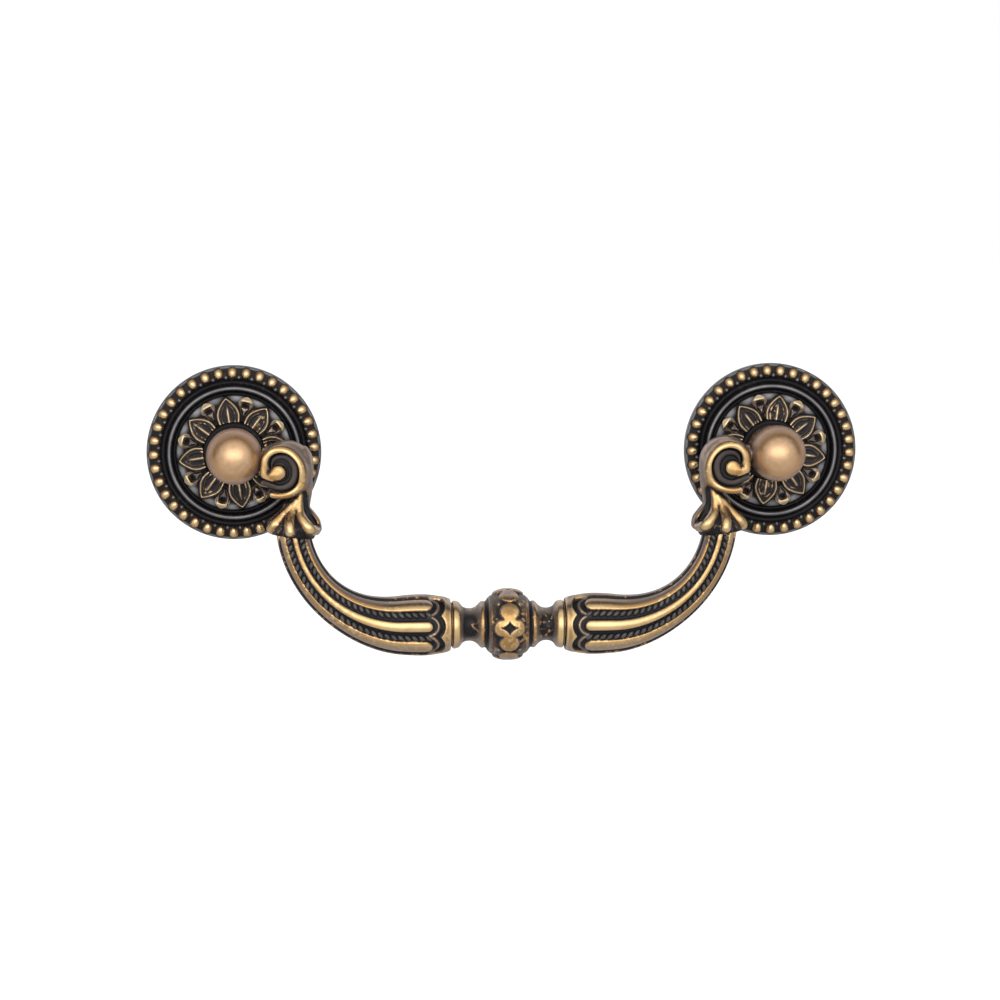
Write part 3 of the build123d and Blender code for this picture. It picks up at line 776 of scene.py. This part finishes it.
# %% Leaves, rims and the gaps between them
left_leaf = leaf_rod([(35.55, -4.9, 0.3), (36.1, -6.2, 0.5), (36.5, -7.5, 0.68),
                      (36.7, -8.5, 0.8), (36.55, -9.8, 0.92), (35.85, -11.2, 1.02),
                      (34.75, -12.35, 1.06), (33.75, -12.85, 0.8)], -0.1)
middle_leaf = leaf_rod([(36.9, -7.4, 0.66), (37.35, -8.3, 0.84), (37.8, -9.5, 0.88),
                        (38.2, -10.7, 0.92), (38.3, -11.8, 1.0), (38.2, -12.7, 0.94)], 0.0)
right_leaf = leaf_rod([(37.1, -7.6, 0.66), (37.95, -8.5, 0.82), (38.85, -9.55, 0.9),
                       (39.9, -10.7, 1.0), (40.9, -11.75, 1.15), (41.5, -12.35, 0.98)], -0.1)
small_leaf = leaf_rod([(37.2, -10.3, 0.18), (37.2, -11.3, 0.26), (36.95, -12.4, 0.3)], -0.2)
outer_rim = rod([(35.45, 0.9, -5.6, 0.85), (35.62, 0.9, -7.6, 0.82), (35.5, 0.9, -9.0, 0.8),
                 (34.6, 1.0, -10.3, 0.85), (33.75, 1.1, -11.5, 0.85), (33.5, 1.0, -12.6, 0.78)])
far_rim = rod([(38.0, 0.9, -9.4, 0.7), (39.6, 1.0, -10.3, 0.75), (40.9, 1.0, -11.2, 0.8),
               (41.6, 1.0, -12.1, 0.75)])
hollow = rod([(35.2, 2.3, -5.7, 0.25), (35.48, 2.3, -7.3, 0.42), (35.3, 2.2, -9.0, 0.5),
              (34.6, 2.15, -10.4, 0.55), (34.0, 2.1, -11.4, 0.5)])
gaps = [leaf_rod([(37.22, -9.5, 0.1), (37.28, -10.4, 0.18), (37.2, -11.4, 0.28),
                  (36.95, -12.4, 0.42), (36.7, -13.4, 0.55)], 0.3),
        leaf_rod([(38.75, -10.3, 0.1), (39.25, -11.3, 0.22), (39.7, -12.5, 0.4),
                  (40.0, -13.6, 0.55)], 0.3)]
channel = rod([(35.25, 0.0, -5.7, 0.2), (35.5, 0.0, -7.3, 0.32), (35.32, 0.0, -9.0, 0.34),
               (34.55, 0.0, -10.5, 0.36), (34.0, 0.0, -11.4, 0.34)])[:, :1, :]
husk = joined(husk, joined(outer_rim, far_rim, 0.3), 0.5)
husk = joined(husk, left_leaf, 0.12)
husk = joined(husk, joined(middle_leaf, right_leaf, 0.1), 0.12)
core = husk + 0.5  # keeps the cuts from going through
husk = np.minimum(without(husk, np.minimum(np.minimum(*gaps), hollow), 0.14), core)
husk = joined(husk, small_leaf, 0.1)
on_leaves = np.minimum(left_leaf, np.minimum(middle_leaf, right_leaf))
cast = joined(scroll, husk, 0.45)
print("rods melted into one field, lowest distance:", round(float(cast.min()), 2), "mm")

# %% Read the surface out of the field
def surface_of(field, low, step):
    """Points and squares where a field crosses zero: one point in each box that it crosses."""
    inside = field < 0.0
    shape = np.array(field.shape) - 1
    corners = list(np.ndindex(2, 2, 2))
    full = sum(inside[i:shape[0] + i, j:shape[1] + j, k:shape[2] + k].astype(np.int8)
               for i, j, k in corners)
    cells = np.argwhere((full > 0) & (full < 8))
    number = np.full(shape, -1)
    number[tuple(cells.T)] = np.arange(len(cells))
    # Each box gets one point, the mean of the places where its edges cross the surface.
    place = np.zeros((len(cells), 3))
    found = np.zeros(len(cells))
    for axis in range(3):
        for first in (c for c in corners if c[axis] == 0):
            a = cells + first
            b = a.copy()
            b[:, axis] += 1
            one, two = field[tuple(a.T)], field[tuple(b.T)]
            cross = (one < 0.0) != (two < 0.0)
            share = np.where(cross, one / np.where(cross, one - two, 1.0), 0.0)
            spot = a + share[:, None] * (b - a)
            place += np.where(cross[:, None], spot, 0.0)
            found += cross
    points = low + step * place / found[:, None]
    # Each grid edge that crosses it joins the points of the four boxes round that edge.
    squares = []
    for axis in range(3):
        ahead = [slice(None)] * 3
        behind = [slice(None)] * 3
        ahead[axis], behind[axis] = slice(1, None), slice(None, -1)
        edge = inside[tuple(ahead)] != inside[tuple(behind)]
        edges = np.argwhere(edge)
        u, v = (axis + 1) % 3, (axis + 2) % 3
        edges = edges[(edges[:, u] > 0) & (edges[:, v] > 0)]
        ring = []
        for du, dv in ((-1, -1), (0, -1), (0, 0), (-1, 0)):
            cell = edges.copy()
            cell[:, u] += du
            cell[:, v] += dv
            ring.append(number[tuple(np.minimum(cell, shape - 1).T)])
        ring = np.stack(ring, axis=1)
        turned_round = inside[tuple(edges.T)]
        squares.append(np.where(turned_round[:, None], ring, ring[:, ::-1]))
    return points, np.vstack(squares)


def relaxed(points, quads, rounds, pull=0.5):
    """The same mesh with each point drawn a little towards its neighbours, again and again."""
    sides = np.vstack([quads[:, [k, (k + 1) % 4]] for k in range(4)])
    start, end = sides.T
    share = np.maximum(np.bincount(start, minlength=len(points)), 1)
    for _ in range(rounds):
        mean = np.stack([np.bincount(start, points[end, k], len(points)) / share
                         for k in range(3)], axis=1)
        points = points + pull * (mean - points)
    return points


whole = np.concatenate([cast[:, :0:-1, :], cast], axis=1)
whole_low = FIELD_LOW - np.array([0.0, STEP * (FIELD_SIZE[1] - 1), 0.0])
surface, scroll_quads = surface_of(whole, whole_low, STEP)
scroll_points = relaxed(surface, scroll_quads, 3) + np.array([0.0, PIVOT_DEPTH, 0.0])
scroll_body = scroll_points, scroll_quads, NO_FANS
scroll_raised, scroll_painted_sheen = standing_out(*scroll_body, 90, side_shade=0.09, side=(0.2, 0.58))
print("scroll from", scroll_points.min(axis=0).round(2), "to", scroll_points.max(axis=0).round(2))

# %% Darken its hollows
folded = scroll_points * np.array([1.0, 0.0, 1.0])
folded[:, 1] = np.abs(scroll_points[:, 1] - PIVOT_DEPTH)


def field_at(field):
    """The value of a field of the front half at each point of the casting, between grid points."""
    last = np.array(field.shape) - 1
    spot = np.clip((folded - FIELD_LOW) / STEP, 0, last)
    corner = np.minimum(spot.astype(int), np.maximum(last - 1, 0))
    share = spot - corner
    value = 0.0
    for i, j, k in np.ndindex(2, 2, 2):
        cell = np.minimum(corner + (i, j, k), last)
        weight = np.abs(1 - np.array([i, j, k]) - share).prod(axis=1)
        value = value + weight * field[tuple(cell.T)]
    return value


low_down = soft_step(2.72, 2.5, folded[:, 1]) * soft_step(0.06, -0.1, field_at(track))
on_ribbon = low_down * soft_step(0.05, -0.15, field_at(ribbon_track))
off_leaves = soft_step(0.08, 0.2, field_at(on_leaves))
bare_husk = off_leaves * soft_step(-5.5, -6.5, folded[:, 2])
foot = off_leaves * soft_step(-12.8, -13.6, folded[:, 2])
in_channel = soft_step(0.12, -0.08, field_at(channel)) * soft_step(0.8, 1.1, folded[:, 1])
scroll_raised -= 0.16 * np.maximum(low_down, bare_husk) + 0.3 * np.maximum(in_channel, foot)
scroll_raised -= 0.2 * on_ribbon
scroll_raised += 0.07 * soft_step(0.1, 0.0, field_at(on_leaves))
# Painted sheen is taken out of the groove, the bare husk, the channel and the foot, and a little is
# put on the ribbon.
scroll_painted_sheen *= 1.0 - np.maximum(low_down, 0.5 * bare_husk * soft_step(1.6, 2.2, folded[:, 1]))
scroll_painted_sheen *= 1.0 - np.maximum(in_channel, foot)
scroll_painted_sheen = np.maximum(scroll_painted_sheen, 0.2 * on_ribbon)
print("share of the scroll's points in the dark:", round(float((scroll_raised < 0.0).mean()), 2))

# %% Set both scrolls in place
def leaned(points):
    """The left casting isn't an exact mirror: it hangs lower and leans towards its ball."""
    depth = np.hypot(points[:, 1] - PIVOT_DEPTH, 0.5) - 0.5
    off_pin = soft_step(1.7, 2.4, np.hypot(points[:, 1] - PIVOT_DEPTH, points[:, 2]))
    moved = points.copy()
    moved[:, 0] += depth * (0.03 + 0.29 * soft_step(-9.0, -4.0, points[:, 2]))
    moved[:, 2] -= (0.15 + 0.27 * soft_step(-10.0, -6.0, points[:, 2])) * off_pin
    return mirrored(moved)


scrolls = pair_of("bail_scroll", scroll_body, bail_brass, leaned, raised=scroll_raised,
                  aside=scroll_painted_sheen)

# %% [markdown]
# ## Ball-headed posts
# Each post is turned from bar: a spigot with a screw hole, which goes through the rosette, a flange
# on its hub, a neck, and a ball that hands touch most, so it is smooth and its front is rubbed
# bright; a painted highlight makes that front lighter still, and its edge gets a painted sheen. It
# could be spun with a Screw modifier. The same grid of rings as before does it too, and lets the
# ball be filed flat by a hair where the scroll swings past, as in the solid.

# %% Turn the posts
def lathe(outline, columns):
    """Rings along a line: outline gives height and radius, and height comes towards the viewer."""
    height, radius = np.array(outline, float).T
    angle = np.linspace(0.0, 2 * math.pi, columns, endpoint=False)
    x = radius[:, None] * np.cos(angle)
    z = radius[:, None] * np.sin(angle)
    return np.stack([x, np.repeat(-height[:, None], columns, axis=1), z], axis=-1)


POST_X = 48.0
BALL, BALL_FLAT = 4.95, 4.7
post_outline = [
    (7.5, 0.3), (7.5, 1.65), (0.25, 1.65), (0.0, 1.9), (0.0, 2.7), (0.06, 2.75), (3.71, 2.75),
    (3.71, 4.4), (3.74, 4.5), (3.8, 4.6), (4.1, 4.64), (4.4, 4.6), (4.56, 4.42), (4.6, 4.0),
    (4.68, 3.5), (4.9, 3.15), (5.3, 2.98), (5.8, 2.93), (6.2, 2.96),
]
for turn in np.radians(np.linspace(-52.0, 89.3, 84)):
    post_outline.append((-PIVOT_DEPTH + BALL * math.sin(turn), BALL * math.cos(turn)))
post_grid = lathe(post_outline, 144)
off_middle = np.hypot(post_grid[..., 0], post_grid[..., 2]) / BALL
is_ball = soft_step(9.5, 11.5, -post_grid[..., 1])
post_grid[..., 0] = np.maximum(post_grid[..., 0], -BALL_FLAT)
post_body = closed_tube(post_grid + np.array([POST_X, 0.0, 0.0]))
# The ball's front is rubbed bright, and a painted highlight makes its middle lighter still; its
# edge gets a painted sheen.
post_wear_and_highlight = (0.03 + 0.17 * soft_step(0.95, 0.48, off_middle)) * is_ball - 0.03 * (1.0 - is_ball)
post_painted_sheen = is_ball * soft_step(0.74, 0.93, off_middle)
ball_brass = rubbed_brass("rubbed_brass_ball", (
    (0.02, 0.014, 0.012), (0.24, 0.125, 0.065), (0.64, 0.385, 0.205), (0.88, 0.62, 0.39)),
    0.11, spots=0.3, satin=(0.60, 0.43, 0.34), dull=0.5)
posts = pair_of("ball_post", post_body, ball_brass, raised=with_ends(post_wear_and_highlight, (-0.03, 0.13)),
                aside=with_ends(post_painted_sheen))

# %% [markdown]
# ## The rosette plates
# A rosette is one casting: a rim with beads, a rounded ring between two coves, and a sunk field for
# the flower. Its plate is a turned shape, so it comes off the same lathe as the post. The outline
# runs from the hole at the back, over the recess that keeps it flat on the drawer, round the rim,
# back in over the front and through the hole again, so its last row joins its first. A sheen is
# painted on the crest of the ring, on the outer side of the rim and in triangles on the floor
# between the petals, which a wave round the plate marks.

# %% Turn the plate
PLATE_OUTLINE = [
    (0.0, 2.8), (0.0, 5.7), (0.06, 5.95), (0.76, 6.05), (0.8, 6.2), (0.8, 12.8), (0.74, 12.95),
    (0.06, 13.05), (0.0, 13.2), (0.0, 15.25), (0.12, 15.42), (0.3, 15.5), (1.2, 15.5),
    (1.46, 15.44), (1.66, 15.28), (1.76, 15.05), (1.86, 14.6), (1.94, 14.0), (1.96, 13.4),
    (1.93, 13.2), (1.8, 13.05), (1.66, 12.85), (1.58, 12.6), (1.6, 12.38), (1.78, 12.2),
    (2.1, 12.08), (2.5, 11.98), (2.84, 11.85), (3.06, 11.68), (3.15, 11.48), (3.08, 11.28),
    (2.88, 11.12), (2.54, 11.0), (2.1, 10.92), (1.8, 10.8), (1.62, 10.62), (1.6, 10.45),
    (1.7, 10.3), (1.9, 10.18), (2.0, 10.0), (2.04, 9.6), (2.04, 8.6), (2.04, 7.2), (2.06, 5.85),
    (2.2, 5.68), (2.7, 5.58), (3.2, 5.5), (3.5, 5.36), (3.68, 5.16), (3.7, 4.95), (3.7, 4.6),
    (3.7, 2.8),
]
PLATE_STEP = 0.17


def evenly(outline, step):
    """The outline with more rows: its own corners, and one at each step along it."""
    corners = np.array(outline)
    length = np.append(0.0, np.cumsum(np.hypot(*np.diff(corners, axis=0).T)))
    walk = np.unique(np.concatenate([length, np.arange(0.0, length[-1], step)]))
    walk = walk[np.append(True, np.diff(walk) > 0.03)]
    return np.stack([np.interp(walk, length, corners[:, k]) for k in (0, 1)], axis=1)


plate_points, *plate_faces = closed_ring(lathe(evenly(PLATE_OUTLINE, PLATE_STEP), 216))
reach = np.hypot(plate_points[:, 0], plate_points[:, 2])
high = -plate_points[:, 1]
bearing = np.arctan2(plate_points[:, 2], plate_points[:, 0])
# Painted sheen on the crest of the ring, on the floor between the petals and on the outer side of
# the rim.
ring_crest = np.exp(-(((reach - 11.47) / 0.36) ** 2)) * soft_step(2.8, 3.1, high)
floor_ring = soft_step(8.8, 9.6, reach) * soft_step(10.3, 10.05, reach) * soft_step(1.5, 1.9, high)
rim_side = soft_step(14.95, 15.2, reach) * soft_step(0.1, 0.4, high)
SIDES = {"right": POST_X, "left": -POST_X}
FLOWER_TURN = {"right": -8.5, "left": 8.5}
plates = []
for side, place in SIDES.items():
    painted_floor_shine = floor_ring * np.sin(8.0 * (bearing - math.radians(FLOWER_TURN[side]))) ** 2
    plate_painted_sheen = np.clip(0.8 * ring_crest + 0.8 * painted_floor_shine + 0.9 * rim_side, 0.0, 1.0)
    plates.append(piece_of(
        f"rosette_plate_{side}", plate_points + np.array([place, 0.0, 0.0]), *plate_faces,
        plate_brass, raised=0.06 * ring_crest - 0.1, aside=plate_painted_sheen))

# %% [markdown]
# ## Beads, dots and petals
# On each rosette 37 beads follow the rim, with a pinhead dot between each two, and eight large
# petals alternate with eight small ones. An Array modifier round an empty would repeat them, but a
# Geometry Nodes tree keeps the count and the first angle as named inputs. Each shape is drawn once,
# lying at its own distance from the middle, and the tree turns copies of it round the middle.

# %% A tree that turns copies round the middle
turn_tree, given = new_tree("copies_round_the_middle", {
    "Shape": ("NodeSocketObject", None), "Count": ("NodeSocketInt", 8),
    "First angle": ("NodeSocketFloat", 0.0), "Middle": ("NodeSocketVector", (0.0, 0.0, 0.0)),
    "Turn": ("NodeSocketVector", (0.0, 0.0, 0.0)), "Finish": ("NodeSocketMaterial", None),
    "Sway across": ("NodeSocketFloat", 0.0), "Sway up": ("NodeSocketFloat", 0.0),
})
add = partial(make, turn_tree)
shape = add("GeometryNodeObjectInfo", {"Object": given["Shape"]}, output="Geometry")
spots = add("GeometryNodePoints", {"Count": given["Count"]})
order = add("GeometryNodeInputIndex")
angle = given["First angle"] + order * (2 * math.pi) / given["Count"]
sway = given["Sway across"] * angle.math("COSINE", angle)
sway = sway + given["Sway up"] * angle.math("SINE", angle)
turned_by = add("ShaderNodeCombineXYZ", {"Z": angle + sway})
copies = add("GeometryNodeInstanceOnPoints",
             {"Points": spots, "Instance": shape, "Rotation": turned_by})
copies = add("GeometryNodeRealizeInstances", {"Geometry": copies})
copies = add("GeometryNodeTransform", {
    "Geometry": copies, "Translation": given["Middle"], "Rotation": given["Turn"]})
close_tree(turn_tree, copies, given["Finish"])
print("nodes in the tree of copies:", len(turn_tree.nodes))


def turned_copies(name, shape, count, first, place, finish, sway=(0.0, 0.0)):
    """Copies of a shape round a post, as one plain mesh; sway makes their spacing uneven."""
    return run_tree(name, turn_tree, {
        "Shape": shape, "Count": count, "First angle": math.radians(first), "Finish": finish,
        "Middle": (place * MM, 0.0, 0.0), "Turn": (math.pi / 2, 0.0, 0.0),
        "Sway across": math.radians(sway[0]), "Sway up": math.radians(sway[1])})

# %% One bead and one dot
def dome(rings, columns, size, centre, lean):
    """A closed egg-shaped bead, and how far each of its points stands out: its height, less a
    painted shade on its outer side. Size is its half length, half width and height."""
    up = np.linspace(-0.45 * math.pi, 0.46 * math.pi, rings)
    about = np.linspace(0.0, 2 * math.pi, columns, endpoint=False)
    u, v = np.meshgrid(up, about, indexing="ij")
    x = size[0] * np.cos(u) * np.cos(v)
    y = size[1] * np.cos(u) * np.sin(v) * (1.0 + 0.1 * np.cos(v))
    z = size[2] * np.sin(u) + lean * x * np.clip(np.sin(u), 0, 1)
    body = closed_tube(np.stack([x, y, z], axis=-1) + np.array(centre))
    top = (body[0][:, 2] - centre[2]) / size[2]
    outer_side_shade = np.clip((body[0][:, 0] - centre[0]) / size[0], 0, 1)
    # Painted shade: the outer side of a bead is made darker; its top is rubbed brighter.
    return body, 0.42 * top - 0.1 - 0.12 * outer_side_shade


BEADS = 37
bead_body, bead_raised = dome(12, 20, (1.15, 0.9, 1.0), (14.2, 0.0, 1.82), -0.14)
bead = piece_of("one_bead", *bead_body, raised=bead_raised, aside=0.0 * bead_raised)
dot_body, dot_raised = dome(6, 10, (0.36, 0.32, 0.3), (13.38, 0.0, 1.88), 0.0)
# The dots stay dark and get a painted sheen all over.
dot = piece_of("one_dot", *dot_body, raised=0.0 * dot_raised - 0.1, aside=0.0 * dot_raised + 0.8)

# %% One large petal
FLOOR_HIGH = 2.02


def petal_grid(knots, rows, columns):
    """A grid over a leaf outline, rows going outward, and each point's distance to its edge."""
    stations, widths = np.array(knots).T
    out = np.linspace(stations[0], stations[-1], rows)
    wide = np.interp(out, stations, widths)
    wide[1:-1] = np.convolve(wide, [0.25, 0.5, 0.25], "valid")
    x = np.repeat(out[:, None], columns, axis=1)
    y = wide[:, None] * np.sin(np.linspace(-0.5 * math.pi, 0.5 * math.pi, columns))
    slope = np.cos(np.arctan(np.gradient(wide, out)))[:, None]
    return x, y, (wide[:, None] - np.abs(y)) * slope


def with_skirt(grid, count):
    """One value for each of count points of a closed patch: those of its grid, then zeros."""
    return np.append(grid.ravel(), np.zeros(count - grid.size))


LARGE = [(5.3, 1.98), (5.9, 2.16), (6.6, 2.26), (7.2, 2.2), (7.8, 2.02), (8.4, 1.7), (8.9, 1.36),
         (9.4, 0.95), (9.8, 0.52), (10.1, 0.08)]
x, y, edge = petal_grid(LARGE, 56, 41)
rib = np.exp(-((y / (0.12 + 0.14 * soft_step(8.3, 6.6, x))) ** 2)) * soft_step(8.5, 7.6, x)
outer_line = np.exp(-(((edge - 0.42) / 0.16) ** 2))
inner_line = np.exp(-(((edge - 1.02) / 0.12) ** 2)) * soft_step(0.3, 0.55, np.abs(y))
sunk, flank = soft_step(0.5, 0.78, edge), soft_step(0.34, 0.0, edge)
z = FLOOR_HIGH + np.interp(x, [5.3, 7.0, 10.1], [1.2, 1.15, 0.9])
z = z + 0.08 * outer_line - 0.42 * sunk - 0.36 * flank + 0.4 * rib + 0.2 * inner_line
petal = closed_patch(np.stack([x, y, z], axis=-1), np.array([0.0, 0.0, -1.15]))
petal_raised, petal_painted_sheen = standing_out(*petal, 24, side_shade=0.12, front=2)
to_edge = with_skirt(edge, len(petal_raised))
inside = soft_step(0.16, 0.28, to_edge)
petal_raised = petal_raised * inside - 0.1 * (1.0 - inside)
# Painted sheen on what faces aside, kept off the petal's edge.
petal_painted_sheen *= soft_step(0.14, 0.26, to_edge)
large_petal = piece_of("one_large_petal", *petal, raised=petal_raised, aside=petal_painted_sheen)

# %% One small petal
SMALL = [(6.6, 0.14), (7.2, 0.5), (7.9, 0.95), (8.5, 1.22), (8.95, 1.32), (9.35, 1.2),
         (9.75, 0.82), (10.05, 0.42), (10.22, 0.08)]
x, y, _ = petal_grid(SMALL, 40, 31)
crown = np.exp(-(((x - 9.42) / 0.56) ** 2) - np.abs(y / 0.98) ** 3)
shoulders = sum(np.exp(-(((x - 8.5) / 0.7) ** 2) - ((y - s) / 0.22) ** 2) for s in (-0.86, 0.86))
pit = np.exp(-(((x - 8.55) / 0.36) ** 2) - ((y - 0.12) / 0.46) ** 2)
ribs = sum(np.exp(-(((y - s * (x - 6.9)) / 0.11) ** 2)) for s in (-0.3, 0.0, 0.3))
z = FLOOR_HIGH + np.interp(x, [6.6, 8.0, 9.4, 10.22], [0.12, 0.4, 0.6, 0.46])
z = z + 0.36 * crown + 0.2 * shoulders - 0.5 * pit + 0.12 * ribs * soft_step(8.4, 7.9, x)
sepal = closed_patch(np.stack([x, y, z], axis=-1), np.array([0.0, 0.0, -0.8]))
relief, sepal_painted_sheen = standing_out(*sepal, 24, side_shade=0.08, front=2)
on_crown = with_skirt(crown, len(relief))
rubbed = 0.3 * soft_step(0.2, 0.55, on_crown)
# Painted sheen on the raised parts and on what faces aside, but none on the crown.
sepal_painted_sheen = soft_step(0.35, 0.15, on_crown) * np.maximum(
    0.5 * sepal_painted_sheen, 0.6 * soft_step(-0.02, 0.06, relief + rubbed))
small_petal = piece_of("one_small_petal", *sepal, raised=relief + rubbed - 0.08,
                       aside=sepal_painted_sheen)

# %% Set them round both rosettes
BEAD_START = {"right": 6.5, "left": 5.0}
BEAD_SWAY = {"right": (1.07, -0.91), "left": (-1.04, -1.72)}
flowers = {}
for side, place in SIDES.items():
    start, uneven = BEAD_START[side], BEAD_SWAY[side]
    upright = 90.0 + FLOWER_TURN[side]
    flowers[side] = [
        turned_copies(f"rosette_beads_{side}", bead, BEADS, start, place, bead_brass, uneven),
        turned_copies(f"rosette_dots_{side}", dot, BEADS, start + 180.0 / BEADS, place,
                      plate_brass, uneven),
        turned_copies(f"rosette_large_petals_{side}", large_petal, 8, upright, place, petal_brass),
        turned_copies(f"rosette_small_petals_{side}", small_petal, 8, upright + 22.5, place,
                      petal_brass),
    ]
for pattern in (bead, dot, large_petal, small_petal):
    bpy.data.objects.remove(pattern)

# %% [markdown]
# ## Steel pins
# The two pivot pins hardly show, so their solids stay as they are and only get a finish: drawn
# steel with fine lines round it. A plain grey would do in the main view, but the pins can be seen
# when the bail swings up.

# %% Drawn steel
steel, tree = blank_material("drawn_steel")
place = make(tree, "ShaderNodeTexCoord", output="Object")
stretch = make(tree, "ShaderNodeMapping", {"Vector": place, "Scale": (9000.0, 300.0, 300.0)})
drawn = noise(tree, stretch, 1.0, 3.0)
tint = blended(tree, drawn.between(0.3, 0.7), (0.10, 0.10, 0.10, 1.0), (0.22, 0.22, 0.22, 1.0))
relief = make(tree, "ShaderNodeBump", {"Strength": 0.2, "Distance": 0.00002, "Height": drawn})
shade = make(tree, "ShaderNodeBsdfPrincipled", {
    "Base Color": tint, "Metallic": 1.0, "Roughness": 0.28 + drawn * 0.16, "Normal": relief})
make(tree, "ShaderNodeOutputMaterial", {"Surface": shade}, output=None)
for side in ("left", "right"):
    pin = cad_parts[f"pivot_pin_{side}"]
    pin.data.materials.clear()
    pin.data.materials.append(steel)
print("steel on both pins, nodes in its tree:", len(tree.nodes))

# %% [markdown]
# ## Who moves with what
# The rosettes and posts stay on the drawer front, and everything else swings with the bail. Each
# piece is hung under the body that it rides on, and the solid that it stands for is hidden.

# %% Ride and replace
for side_plate, side_post, side in zip(plates, posts, ("right", "left")):
    for piece in [side_plate, *flowers[side]]:
        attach(piece, "mounted")
        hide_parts(f"rosette_{side}")
    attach(side_post, "mounted")
    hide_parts(f"post_{side}")
for piece in [middle_piece, *arms, *cords, *scrolls]:
    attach(piece, "bail")
    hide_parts("bail")

# %% [markdown]
# ## Floor, light and camera
# The photograph is a product shot on white: broad soft light from the front and above, and white
# all round. A white world would flood the metal and wash out its patina. So the camera sees white
# everywhere, but a reflection finds white only straight ahead of the piece and straight behind it,
# as in a dark studio with a light tent. Large soft lamps do the rest of the lighting.

# %% A pale floor well below
FLOOR_LEVEL, FLOOR_HALF = -0.135, 6.0
floor_corners = [(FLOOR_HALF * x, FLOOR_HALF * y, FLOOR_LEVEL)
                 for x, y in ((-1, -1), (1, -1), (1, 1), (-1, 1))]
floor_mesh = bpy.data.meshes.new("floor")
floor_mesh.from_pydata(floor_corners, [], [(0, 1, 2, 3)])
floor = bpy.data.objects.new("floor", floor_mesh)
bpy.context.scene.collection.objects.link(floor)
pale, tree = blank_material("pale_floor")
seen = make(tree, "ShaderNodeLightPath", output="Is Camera Ray")
matt = make(tree, "ShaderNodeBsdfDiffuse", {"Color": (0.85, 0.85, 0.85, 1.0)})
glow = make(tree, "ShaderNodeEmission", {"Color": (1.0, 1.0, 1.0, 1.0), "Strength": seen * 0.7})
both = make(tree, "ShaderNodeAddShader", {0: matt, 1: glow})
make(tree, "ShaderNodeOutputMaterial", {"Surface": both}, output=None)
floor_mesh.materials.append(pale)

# %% World and lamps
world = bpy.data.worlds.new("studio")
bpy.context.scene.world = world
world.use_nodes = True
tree = world.node_tree
tree.nodes.clear()
path = make(tree, "ShaderNodeLightPath", output=None)
camera_ray, glossy_ray, clear_ray = (
    Wire(tree, path.outputs[f"Is {kind} Ray"]) for kind in ("Camera", "Glossy", "Transmission"))
direction = make(tree, "ShaderNodeTexCoord", output=0)
depth_part = make(tree, "ShaderNodeSeparateXYZ", {"Vector": direction}, output="Y")
behind = depth_part.between(0.05, 0.45)
ahead = (depth_part * -1.0).between(0.12, 0.42)
mirror_level = glossy_ray * (0.08 + ahead * 0.84 + behind * 0.85)
level = mirror_level + (1.0 - glossy_ray) * 0.5
level = level + (1.0 - level) * camera_ray
level = level + (1.0 - level) * clear_ray
backdrop = make(tree, "ShaderNodeBackground", {"Color": (1.0, 1.0, 1.0, 1.0), "Strength": level})
make(tree, "ShaderNodeOutputWorld", {"Surface": backdrop}, output=None)


def soft_lamp(name, place, aim, width, height, watts, tint=(1.0, 1.0, 1.0)):
    """A rectangular softbox that looks at a point."""
    lamp = bpy.data.lights.new(name, "AREA")
    lamp.shape, lamp.size, lamp.size_y = "RECTANGLE", width, height
    lamp.energy, lamp.color = watts, tint
    holder = bpy.data.objects.new(name, lamp)
    holder.location = place
    holder.rotation_euler = (Vector(aim) - Vector(place)).to_track_quat("-Z", "Y").to_euler()
    bpy.context.scene.collection.objects.link(holder)
    return holder


AIM = (0.0, -0.01, -0.015)
soft_lamp("front_softbox", (-0.05, -1.15, 0.06), AIM, 1.5, 1.2, 9.0, (1.0, 0.98, 0.95))
for name, place, watts in (("left_softbox", (-0.9, -0.6, 0.1), 0.9),
                           ("right_softbox", (0.9, -0.6, 0.1), 0.9),
                           ("top_softbox", (0.0, -0.45, 0.85), 1.8)):
    soft_lamp(name, place, AIM, 0.6, 0.4, watts).visible_glossy = False
print("lamps:", [lamp.name for lamp in bpy.data.lights])

# %% The camera of the photograph
camera_data = bpy.data.cameras.new("photo_camera")
camera_data.lens, camera_data.sensor_width = 132.6, 36.0
camera_data.clip_start, camera_data.clip_end = 0.01, 50.0
camera = bpy.data.objects.new("photo_camera", camera_data)
camera.location = (-0.04905, -0.65527, 0.05155)
camera.rotation_euler = (math.radians(90.0 - 5.259), 0.0, math.radians(-4.234))
bpy.context.scene.collection.objects.link(camera)
bpy.context.scene.camera = camera
bpy.context.scene.view_settings.view_transform = "Standard"
